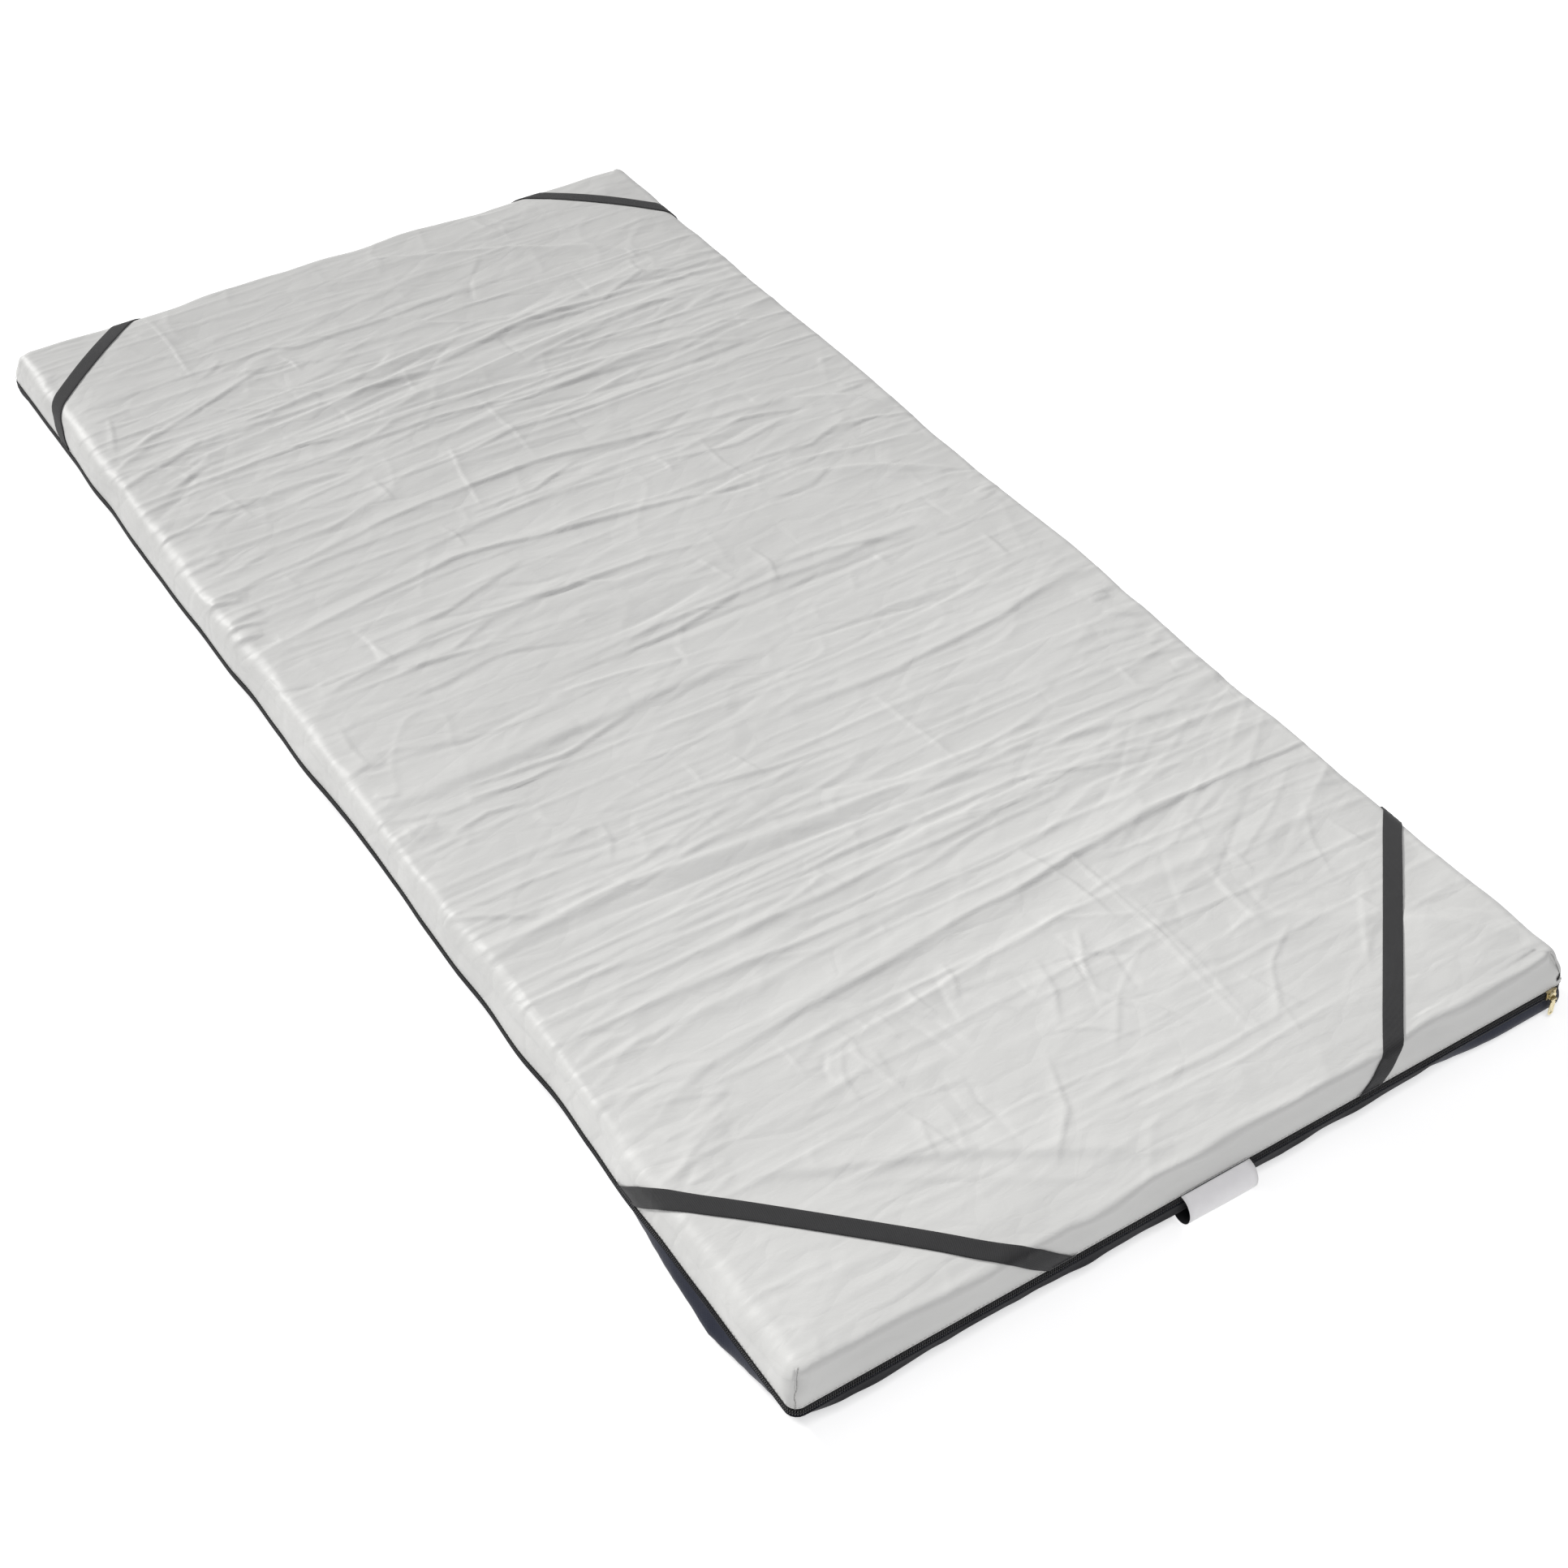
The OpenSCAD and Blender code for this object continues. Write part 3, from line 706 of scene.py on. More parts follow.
def add_fold(z, x, y, line, height, width, seed):
    """Adds one fold to z: steep on one side, gentle on the other, tapered at its ends."""
    line = even(np.array(line), 0.012)
    shake = min(width, 0.01) * 0.5
    line = line + shake * np.stack([noise(*line.T, 0.05, 0.05, seed + 1),
                                    noise(*line.T, 0.07, 0.07, seed)], 1)
    reach = width * 4
    low, high = line.min(0) - reach, line.max(0) + reach
    box = (x > low[0]) & (x < high[0]) & (y > low[1]) & (y < high[1])
    px, py = x[box], y[box]
    distance, along = near_line(px, py, line)
    lean = 1 if seed % 3 else -1
    wide = width * (1 + 0.3 * noise(px, py, 0.08, 0.05, seed + 2))
    gentle = np.exp(0.3 - np.sqrt((distance / wide) ** 2 * 0.6 + 0.09))
    steep = np.exp(-(distance / (0.62 * wide)) ** 2)
    taper = np.sqrt(np.clip(np.sin(np.clip(along, 0, 1) * math.pi), 0, 1))
    uneven = 1 + 0.3 * noise(px, py, 0.05, 0.05, seed + 3)
    fade = smooth((reach - np.abs(distance)) / (0.4 * reach))
    z[box] += height * taper * uneven * fade * np.where(distance * lean > 0, gentle, steep)


def short_creases(z, x, y, seed, count, zone, heading, length, height, width):
    """Adds many short folds at random in a zone (x0, x1, y0, y1), with headings in degrees and
    sizes in millimetres, each a (least, most) pair."""
    rng = np.random.default_rng(seed)
    for k in range(count):
        middle = np.array([rng.uniform(*zone[:2]), rng.uniform(*zone[2:])]) * MM
        angle = math.radians(rng.uniform(*heading))
        half = rng.uniform(*length) * MM / 2
        way = np.array([math.cos(angle), math.sin(angle)])
        side = np.array([-way[1], way[0]]) * rng.uniform(-0.25, 0.25) * half
        line = [middle - way * half, middle + side, middle + way * half]
        tall = rng.uniform(*height) * MM * (1 if rng.random() < 0.75 else -0.8)
        add_fold(z, x, y, line, tall, rng.uniform(*width) * MM, seed + 11 * k)


def gathered(y):
    """Two zones across the mattress where the sheet is fullest."""
    return np.exp(-((y + 0.48) / 0.16) ** 2) + np.exp(-((y - 0.55) / 0.14) ** 2)


def loose_sheet(x, y):
    """The folds the sheet starts from before it settles."""
    z = np.zeros(x.shape)
    for k, (line, height, width) in enumerate(FOLDS):
        add_fold(z, x, y, np.array(line) * MM, 0.8 * height * MM, max(width, 9) * MM, 100 + 13 * k)
    z += (0.5 + 0.7 * gathered(y)) * MM * cloudy(x, y, 0.25, 0.03, 5)
    return z + 0.5 * MM * cloudy(x, y, 0.05, 0.05, 15)


# The cloth simulation of the panel: its grid, how many frames it settles for, how much longer
# the sheet is than the foam in each direction, and how the cloth behaves
CLOTH_STEP, CLOTH_FRAMES, CLOTH_HALF_X, CLOTH_HALF_Y = 10 * MM, 16, 0.44, 0.94
SHEET_SLACK = (1.001, 1.010, 1)
CLOTH_SETTINGS = {
    "quality": 5, "mass": 0.002, "tension_stiffness": 40, "compression_stiffness": 40,
    "shear_stiffness": 12, "bending_stiffness": 10, "air_damping": 1.5, "tension_damping": 8,
    "compression_damping": 8, "shear_damping": 8, "bending_damping": 1, "pin_stiffness": 5,
}


def settled_sheet():
    """Cloth simulation of the panel: a sheet slightly too long for the foam, held along its
    border, buckles and settles on the foam. Returns its grid and heights."""
    xs, ys = (np.linspace(-half, half, int(2 * half / CLOTH_STEP) + 1)
              for half in (CLOTH_HALF_X, CLOTH_HALF_Y))
    x, y = np.meshgrid(xs, ys, indexing="ij")
    start = loose_sheet(x, y)
    points = np.stack([x, y, start + 2 * MM], -1).reshape(-1, 3)
    sheet = mesh_piece("settling_sheet", points, quads(*x.shape)[:, ::-1])
    sheet.shape_key_add(name="Basis")
    longer = sheet.shape_key_add(name="Longer")
    longer.data.foreach_set("co", (points * SHEET_SLACK).ravel())
    border = (np.abs(x) > CLOTH_HALF_X - 0.1 * MM) | (np.abs(y) > CLOTH_HALF_Y - 0.1 * MM)
    held = sheet.vertex_groups.new(name="held")
    held.add([int(k) for k in np.nonzero(border.ravel())[0]], 1.0, "REPLACE")
    foam = mesh_piece("foam_face", [(-1, -1.2, 0), (1, -1.2, 0), (1, 1.2, 0), (-1, 1.2, 0)],
                      [(0, 1, 2, 3)])
    foam.modifiers.new("Collision", "COLLISION")
    foam.collision.thickness_outer = 1.5 * MM
    foam.collision.cloth_friction = 8
    cloth = sheet.modifiers.new("Cloth", "CLOTH")
    cloth.collision_settings.distance_min = 1 * MM
    cloth.point_cache.frame_start, cloth.point_cache.frame_end = 1, CLOTH_FRAMES
    cloth.settings.effector_weights.gravity = 0.1
    cloth.settings.vertex_group_mass = "held"
    cloth.settings.rest_shape_key = longer
    for setting, value in CLOTH_SETTINGS.items():
        setattr(cloth.settings, setting, value)
    scene = bpy.context.scene
    scene.frame_start, scene.frame_end = 1, CLOTH_FRAMES
    for number in range(1, CLOTH_FRAMES + 1):
        scene.frame_set(number)
    settled = sheet.evaluated_get(bpy.context.evaluated_depsgraph_get()).data
    heights = np.zeros(3 * len(settled.vertices))
    settled.vertices.foreach_get("co", heights)
    heights = heights[2::3].reshape(x.shape)
    # Only the fine relief is kept: a much blurred copy of the heights is taken away
    blurred, blur_rounds = heights.copy(), 40
    for axis in (0, 1) * blur_rounds:
        blurred = (np.roll(blurred, 1, axis) + blurred + np.roll(blurred, -1, axis)) / 3
    heights = heights - blurred
    for leftover in (sheet, foam):
        bpy.data.objects.remove(leftover)
    scene.frame_set(1)
    return xs, ys, heights


def spread_heights(grid, x, y):
    """Heights of a grid at any points, through a smooth spline that hides single cells."""
    xs, ys, heights = grid
    for axis in (0, 1):
        heights = heights * 0.5 + (np.roll(heights, 1, axis) + np.roll(heights, -1, axis)) * 0.25
    u = np.clip((x - xs[0]) / (xs[1] - xs[0]), 1, len(xs) - 3.001)
    v = np.clip((y - ys[0]) / (ys[1] - ys[0]), 1, len(ys) - 3.001)
    i, j = u.astype(int), v.astype(int)

    def weights(t):
        return ((1 - t) ** 3 / 6, (3 * t ** 3 - 6 * t ** 2 + 4) / 6,
                (-3 * t ** 3 + 3 * t ** 2 + 3 * t + 1) / 6, t ** 3 / 6)

    across, along = weights(u - i), weights(v - j)
    return sum(across[a] * along[b] * heights[i + a - 1, j + b - 1]
               for a in range(4) for b in range(4))


def wrinkles(x, y):
    """How far the base cover's panel stands above its mean height."""
    z = SETTLED_SHARE * spread_heights(settled_sheet(), x, y)
    for k, (line, height, width) in enumerate(FOLDS):
        add_fold(z, x, y, np.array(line) * MM, FOLD_SHARE * height * MM,
                 FOLD_NARROWING * width * MM, 100 + 13 * k)
    full = gathered(y)
    edge = np.exp(-np.clip(0.445 - np.abs(x), 0, 1) / 0.04)
    small = ((0.7 + 1.2 * full) * creased(x, y, 0.34, 0.034, 21)
             + (0.5 + 0.8 * full) * creased(x, y, 0.17, 0.020, 31)
             + 0.5 * creased(x, y, 0.07, 0.05, 41)
             + edge * (0.3 + 1.2 * full) * noise(x, y, 0.09, 0.012, 51)) * MM
    for family in SHORT_CREASES:
        short_creases(small, x, y, *family)
    z = LARGE_SHARE * z + SMALL_SHARE * small
    at_side = smooth((np.abs(x) - 0.2) / 0.15)
    z *= RELIEF - LESS_AT_GATHERED_SIDES * np.clip(full, 0, 1) * at_side
    z -= z.mean()
    limit = np.where(z > 0, HIGHEST, LOWEST)
    return limit * np.tanh(z / limit)


# ---------------------------------------------------------------- covers
def spread(half, radius, step, corner_steps):
    """Grid lines across a panel: -1 to 1 on the straight part, out to -2 and 2 in the corners."""
    straight = np.linspace(-1, 1, int(round(2 * (half - radius) / step)) + 1)
    t = np.arange(1, corner_steps + 1) / corner_steps
    corner = 2 - (1 - t) ** 1.7
    return np.concatenate([-corner[::-1], straight, corner])


def rounded(u, v, half_x, half_y, radius):
    """Places grid lines on a rectangle with round corners, with each point's outward direction
    and how far it is inside the outline."""
    a, b = np.clip(np.abs(u) - 1, 0, 1), np.clip(np.abs(v) - 1, 0, 1)
    ax, by = a * np.sqrt(1 - b * b / 2), b * np.sqrt(1 - a * a / 2)
    x = np.clip(u, -1, 1) * (half_x - radius) + np.sign(u) * radius * ax
    y = np.clip(v, -1, 1) * (half_y - radius) + np.sign(v) * radius * by
    size = np.maximum(np.hypot(ax, by), 1e-9)
    out = np.stack([np.sign(u) * ax / size, np.sign(v) * by / size], -1)
    inside = radius * (1 - np.hypot(ax, by))
    straight = np.minimum(half_x - np.abs(x), half_y - np.abs(y))
    return x, y, out, np.where((a > 0) & (b > 0), inside, straight)


def rim_order(rows, columns):
    """Indices of a grid's outer points, in order round it."""
    grid = np.arange(rows * columns).reshape(rows, columns)
    return np.concatenate([grid[0, :-1], grid[:-1, -1], grid[-1, :0:-1], grid[:0:-1, 0]])


def panel_with_rings(name, panel, rim, rings, closed=False):
    """A panel, a grid of points, whose outer points carry on through rings of as many points.
    closed adds a last face across the last ring."""
    rows, columns = panel.shape[:2]
    first, count = rows * columns, len(rim)
    faces = quads(rows, columns)[:, ::-1].tolist()
    edges = [list(rim)] + [list(range(first + k * count, first + (k + 1) * count))
                           for k in range(len(rings))]
    for upper, lower in zip(edges[:-1], edges[1:]):
        faces += [[upper[i - 1], upper[i], lower[i], lower[i - 1]] for i in range(count)]
    if closed:
        faces.append(edges[-1][::-1])
    return mesh_piece(name, np.concatenate([panel.reshape(-1, 3), *rings]), faces)


def hem_ring(hem, out, inward, height):
    """A hem outline moved inward to a height. Both are one value, or one for each point."""
    inward = np.broadcast_to(inward, len(hem))[:, None]
    return np.column_stack([hem - out * inward, np.broadcast_to(height, len(hem))])


def edge_place(x, y, out):
    """How far along the nearest side each point is."""
    return np.where(np.abs(out[..., 0]) > np.abs(out[..., 1]), y, x + 3)


def edge_wave(x, y, out):
    """How far the soft top edge stands out from its straight outline."""
    return wander(edge_place(x, y, out), (3.0, 0.16, 81), (2.6, 0.055, 82))


def soft_roll(along, out, near):
    """The radius of the soft edge, which is uneven where no strap holds it down."""
    roll_end = np.where(out[..., 1] < 0, ROLL_NEAR, ROLL_FAR)
    roll_side = np.where(out[..., 0] < 0, ROLL_LEFT, ROLL_RIGHT)
    roll = roll_end + (roll_side - roll_end) * out[..., 0] ** 2
    return roll * (1 + (1 - near) * 0.32 * ripple(along, 0.075, 83))


def cover_panel():
    """The base cover's panel with its rolled edge: its grid lines and points, each point's
    outward direction, and from 0 under a strap to 1 where the sheet is free to wrinkle."""
    half_x, half_y = HALF_W - TOP_INSET, HALF_L - TOP_INSET
    extra = ROLL_LEFT * (math.pi / 2 - 1)
    border = TOP_CORNER_R + extra
    u, v = np.meshgrid(spread(half_x + extra, border, FINE_STEP, 16),
                       spread(half_y + extra, border, FINE_STEP, 16), indexing="ij")
    x, y, out, depth = rounded(u, v, half_x + extra, half_y + extra, border)
    near = strap_nearness(x, y, 38 * MM)
    along = edge_place(x, y, out)
    roll = soft_roll(along, out, near)
    lean = wall_angle(roll)
    bend = roll * (math.pi / 2 - lean)
    path = bend + TOP_CORNER_R - roll * np.cos(lean)
    travelled = np.clip(depth / border, 0, 1) * path
    turned = lean + np.clip(travelled / roll, 0, math.pi / 2 - lean)
    inside = roll * (np.cos(lean) - np.cos(turned)) + np.clip(travelled - bend, 0, None)
    inside = np.where(depth < border, inside, depth - extra)
    shift = np.where(depth < border, inside - (depth - extra), 0)
    x, y = x - out[..., 0] * shift, y - out[..., 1] * shift

    calm = 1 - strap_nearness(x, y, 18 * MM)
    at_edge = np.exp(-inside / 0.03) * calm
    short_side = out[..., 1] ** 2
    wave = edge_wave(x, y, out) * at_edge * (1 + 0.6 * short_side)
    folds = wrinkles(x, y) * smooth((inside + 6 * MM) / (22 * MM)) * calm
    folds += 1.8 * MM * ripple(along, 0.08, 84) * at_edge * short_side
    drop = roll * (1 - np.sin(turned)) + pressed(inside) * near * np.sin(turned)
    z = PANEL_Z - slump(inside) + folds - drop
    return u, v, np.stack([x + out[..., 0] * wave, y + out[..., 1] * wave, z], -1), out, calm


def cover_walls(u, v, panel, out, calm):
    """The base cover's walls: the panel's outer points, and the rings from there to the hem."""
    rim = rim_order(*u.shape)
    rim_points, rim_out = panel.reshape(-1, 3)[rim], out.reshape(-1, 2)[rim]
    hem_x, hem_y, hem_out, _ = rounded(u.ravel()[rim], v.ravel()[rim], HALF_W, HALF_L, CORNER_R)
    hem = np.stack([hem_x, hem_y], -1)
    s = running_length(rim_points)
    steady = calm.ravel()[rim]
    walls = []
    wall_rows = 12
    for t in np.arange(1, wall_rows + 1) / wall_rows:
        z = rim_points[:, 2] * (1 - t) + BASE_HEM_Z * t
        flat = rim_points[:, :2] * (1 - t) + hem * t
        dent = 1.4 * noise(s, z, 0.06, 0.03, 91) + 1.0 * noise(s, z, 0.022, 0.04, 92)
        full = (1.5 + 1.5 * steady * np.clip(rim_out[:, 0], 0, 1) ** 2) * MM
        swell = (full + dent * MM * steady * (1 - t)) * math.sin(math.pi * t) ** 2
        walls.append(np.column_stack([flat + rim_out * swell[:, None], z]))
    for inward, lift in ((0.5, -0.5), (1.0, -0.2), (1.1, 1.5)):
        walls.append(hem_ring(hem, hem_out, inward * MM, BASE_HEM_Z + lift * MM))
    return rim, walls


def base_cover():
    """The grey sheet: a wrinkled panel whose soft edge rolls over into four sloping walls."""
    u, v, panel, out, calm = cover_panel()
    piece = panel_with_rings("base_cover_sheet", panel, *cover_walls(u, v, panel, out, calm))
    return finish(piece, "mattress", "base_cover", grey_sheet)


def showing(s):
    """How far the navy cover shows below the zip, and how far it bulges out there: at the near
    right corner, on the left side beyond the near left corner, and at the far left corner."""
    near_left = 2 * STRAIGHT_X + CORNER_ARC
    far_left = near_left + 2 * STRAIGHT_Y
    round_right = np.minimum(np.abs(s), np.abs(s - ROUND_IT))
    peak = np.clip(np.minimum((s - near_left) / 0.115, (near_left + 0.305 - s) / 0.185), 0, 1)
    far = np.exp(-((s - far_left) / 0.05) ** 2)
    show = smooth(1 - (round_right - 0.06) / 0.2) + np.sqrt(peak) + 0.7 * far
    return np.clip(show, 0, 1), peak


UNDERCUT = [(24, 0), (20, 2.6), (16.5, 6.5), (12.5, 11), (8.6, 15.3), (4.8, 19.3), (1.6, 22.2),
            (0, 23.6)]
BULGE = [(9, 0), (3, 1.4), (-0.5, 5), (-2, 9), (-2.4, 13), (-1.8, 17), (-0.7, 20.8), (0, 23.6)]
JUT = [4, 7, 8, 7.5, 5.5, 3, 1.2, 0]


def top_cover():
    """The navy cover: its walls round under to a flat face that lies on the floor."""
    inset, radius = 24 * MM, 12 * MM
    u, v = np.meshgrid(spread(HALF_W - inset, radius, 8 * MM, 6),
                       spread(HALF_L - inset, radius, 8 * MM, 6), indexing="ij")
    x, y, _, inside = rounded(u, v, HALF_W - inset, HALF_L - inset, radius)
    rim = rim_order(*u.shape)
    flat_u, flat_v = u.ravel()[rim], v.ravel()[rim]
    hem_x, hem_y, hem_out, _ = rounded(flat_u, flat_v, HALF_W, HALF_L, CORNER_R)
    hem = np.stack([hem_x, hem_y], -1)
    s = perimeter_distance(hem_x, hem_y)
    show, peak = showing(s)
    dents = creased(x, y, 0.22, 0.05, 301) * 0.9 + creased(x, y, 0.09, 0.04, 302) * 0.5
    panel = np.stack([x, y, dents * MM * smooth(inside / 0.03)], -1)
    rings = []
    for (under, z), (bulge, bulge_z), jut in zip(UNDERCUT, BULGE, JUT):
        fold = math.sin(math.pi * min(z / 24, 1)) * 1.6 * noise(s, s * 0 + z / 400, 0.07, 0.04, 303)
        place = (under * (1 - show) + bulge * show - jut * peak + fold) * MM
        height = (z * (1 - show) + bulge_z * show) * MM
        rings.append(hem_ring(hem, hem_out, place, height))
    for inward, z in ((0.5, 24), (1.2, 23.6), (1.6, 21)):
        rings.append(hem_ring(hem, hem_out, inward * MM, z * MM))
    piece = panel_with_rings("top_cover_knit", panel, rim, rings)
    tidy_normals(piece)
    return finish(piece, "mattress", "top_cover", navy_knit)


def tidy_normals(piece):
    """Makes a piece's faces agree about which side is out."""
    work = bmesh.new()
    work.from_mesh(piece.data)
    bmesh.ops.recalc_face_normals(work, faces=work.faces)
    work.to_mesh(piece.data)
    work.free()


# ---------------------------------------------------------------- foam
def foam_panel(name, node, half_x, half_y, face, z_far, material, lines=None):
    """A foam layer: face(x, y, inside) gives the shaped side's height, and the other side lies
    at z_far. Its edges are softened."""
    radius = 16 * MM
    u, v = lines or (spread(half_x, radius, 12 * MM, 6), spread(half_y, radius, 12 * MM, 6))
    u, v = np.meshgrid(u, v, indexing="ij")
    x, y, out, inside = rounded(u, v, half_x, half_y, radius)
    z = face(x, y, inside)
    panel = np.stack([x, y, z], -1)
    rim = rim_order(*u.shape)
    edge, edge_out = panel.reshape(-1, 3)[rim], out.reshape(-1, 2)[rim]
    rings = []
    for t, inward in ((0.08, 0), (0.5, 0.4), (0.92, 0), (0.98, 0.8), (1, 2.4), (1, 8)):
        height = edge[:, 2] * (1 - t) + z_far * t
        rings.append(np.column_stack([edge[:, :2] - edge_out * inward * MM, height]))
    piece = panel_with_rings(name, panel, rim, rings, closed=True)
    tidy_normals(piece)
    return finish(piece, "mattress", node, material)


def foam_layers():
    """The solid slab under the base panel, and the castellated layer towards the patient."""
    slab_low, slab_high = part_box("foam_base_slab")
    half_x, half_y = slab_high.x - 12 * MM, slab_high.y - 12 * MM
    top = slab_high.z - 8 * MM

    def slab_face(x, y, inside):
        soft = np.clip(20 * MM - inside, 0, None)
        return top - soft ** 2 / (24 * MM) + 0.4 * MM * noise(x, y, 0.08, 0.08, 401)

    foam_panel("foam_base_slab_block", "foam_base_slab", half_x, half_y, slab_face,
               slab_low.z + 0.2 * MM, cream_foam)

    layer_low, layer_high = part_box("foam_castellated_layer")
    columns, rows, slot, slot_top = 9, 19, 4 * MM, layer_low.z + 25 * MM
    half_x, half_y, radius = layer_high.x - 2 * MM, layer_high.y - 2 * MM, 16 * MM

    def slot_lines(half, count):
        pitch = 2 * half / count
        centres = (np.arange(1, count) - count / 2) * pitch
        inner = (centres[:, None] - slot / 2 + slot * np.linspace(-0.9, 1.9, 8)).ravel()
        straight = inner / (half - radius)
        ends = np.array([1, 1.3, 1.6, 1.8, 1.93, 2])
        return np.concatenate([-ends[::-1], straight, ends]), centres

    u, centres_x = slot_lines(half_x, columns)
    v, centres_y = slot_lines(half_y, rows)

    def block_face(x, y, inside):
        in_x = np.abs(x[..., None] - centres_x).min(-1)
        in_y = np.abs(y[..., None] - centres_y).min(-1)
        near = np.minimum(in_x, in_y)
        level = layer_low.z + 0.8 * MM + 17.5 * MM * smooth(1 - (inside - 22 * MM) / (4 * MM))
        soft = 1.2 * MM * np.exp(-np.clip(near - slot / 2, 0, None) / (1.2 * MM))
        return np.where(near < slot * 0.5, slot_top, level + soft)

    foam_panel("foam_castellated_block", "foam_castellated_layer", half_x, half_y, block_face,
               layer_high.z - 0.2 * MM, blue_foam, (u, v))


# ---------------------------------------------------------------- zip, flap and seam tape
def band(name, start, end, step, section, node, material):
    """A strip along the edge of the mattress. section(s) gives its (outward, height) outline."""
    points, normals, s = perimeter(start, end, step)
    piece = sweep(name, points, normals, upright(len(s)), section(s))
    return finish(piece, "mattress", node, material)


def along_edge(s, outline):
    """The same outline at every s."""
    return np.repeat(np.array(outline, float)[None] * MM, len(s), 0)


def zip_tapes():
    """Two woven tapes, each with a corded edge beside the coil."""
    def tape(edge, hidden):
        turn = np.sign(hidden - edge)
        return [(-1.7, edge), (-1.2, edge - 0.1 * turn), (-0.9, edge + 0.5 * turn),
                (-1.0, edge + 1.5 * turn), (-1.2, edge + 2.4 * turn), (-1.25, hidden),
                (-1.8, hidden), (-1.75, edge + 2.4 * turn)]

    for node, outline in (("zip_tape_base", tape(31, 37)), ("zip_tape_top", tape(27, 20))):
        band(node + "_woven", 0, ZIP_END, 6 * MM, lambda s: along_edge(s, outline), node,
             tape_weave)


def zip_coils():
    """The two coil halves: slanted loops of nylon round a cord."""
    pitch = 2.3 * MM
    unit = capsule(3.1 * MM, 0.62 * MM, sides=5, rings=2)
    for side, node in ((1, "zip_coil_base"), (-1, "zip_coil_top")):
        points, normals, _ = perimeter(3 * MM, ZIP_END - 3 * MM, pitch)
        middle = ZIP_Z + side * 1.95 * MM
        places = []
        for p, n in zip(points, normals):
            way = np.array([-n[1], n[0], 0])
            rise = np.array([0, 0, 1]) * 0.97 + way * 0.24
            places.append((p + n * 0.25 * MM + [0, 0, middle], rise, n))
        loops = scatter(node + "_loops", unit, places)
        core = [(0.45 * math.cos(a) - 0.5, 0.45 * math.sin(a) + (middle + side * 0.7 * MM) / MM)
                for a in np.linspace(0, 2 * math.pi, 6, endpoint=False)]
        cord = sweep(node + "_cord", points[::3], normals[::3], upright(len(points[::3])),
                     np.array(core) * MM)
        finish(joined(node + "_loops", [loops, cord]), "mattress", node, coil_nylon)


def flap_section(s):
    """The flap hangs from the top cover's hem to a wavy free edge. It shows along the near side,
    and is tucked under elsewhere and where the navy cover bulges."""
    shown = showing(s)[0]
    near_side = smooth((2 * STRAIGHT_X + 0.01 - s) / 0.05) * (1 - shown)
    scallop = 0.5 + 0.5 * cloudy(s, s * 0, 0.042, 1, 503, 2)
    drop = (3.4 + 7.4 * scallop) * near_side + (5 + 2 * scallop) * (1 - near_side)
    wave = 1.4 * ripple(s, 0.045, 501) + 0.9 * ripple(s, 0.021, 502)
    drop = drop * (1 - shown) + 1.5 * shown
    lean = (1.2 + wave) * near_side - 5.4 * (1 - near_side) * (1 - shown)
    top = TOP_HEM_Z - 0.4 * MM
    front, back = [], []
    for t in np.linspace(0, 1, 8):
        o = 0.9 + t ** 1.5 * np.clip(lean, -6, 3.2)
        z = top - drop * MM * t
        front.append(np.stack([o * MM, z], 1))
        back.append(np.stack([(o - 0.6) * MM, z + 0.05 * MM], 1))
    return np.stack(front + back[::-1], 1)


def flap_and_seam():
    """The flap under the zip, and the tape on the side that has no zip."""
    band("zip_flap_ruffle", 0, ZIP_END, 4 * MM, flap_section, "zip_flap", flap_cloth)
    binding = [(-1.7, 17.5), (-1.2, 17.5), (-1.2, 23.6), (-0.4, 24.8), (0.1, 26.5), (0.0, 28.4),
               (-0.5, 29), (0.0, 29.6), (0.1, 31.5), (-0.4, 33.3), (-1.2, 34.6), (-1.2, 43.5),
               (-1.7, 43.5)]
    band("side_seam_binding", ZIP_END + 0.3 * MM, ROUND_IT - 0.3 * MM, 6 * MM,
         lambda s: along_edge(s, binding), "side_seam_tape", tape_weave)


def stitch_row(name, start, end, height, outward, thread_material):
    """A row of stitches along the edge of the mattress."""
    points, normals, _ = perimeter(start, end, 4.4 * MM)
    unit = capsule(3.2 * MM, 0.28 * MM, sides=4, rings=2)
    places = []
    for p, n in zip(points, normals):
        way = np.array([-n[1], n[0], 0])
        places.append((p + n * outward + [0, 0, height], way, n))
    piece = scatter(name, unit, places)
    piece.data.materials.append(thread_material)
    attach(piece, "mattress")
    return piece


# ---------------------------------------------------------------- straps
def strap_outline():
    """A strap's cross section, 20 mm wide, with rounded selvedges."""
    half, thick = STRAP_W / 2, STRAP_T / 2
    xs = np.linspace(-half + thick, half - thick, 7)
    top = [(x, thick) for x in xs]
    right = [(half - thick + thick * math.cos(a), thick * math.sin(a)) for a in (0.8, 0, -0.8)]
    bottom = [(x, -thick) for x in xs[::-1]]
    left = [(-half + thick - thick * math.cos(a), -thick * math.sin(a)) for a in (0.8, 0, -0.8)]
    return np.array(top + right + bottom + left)


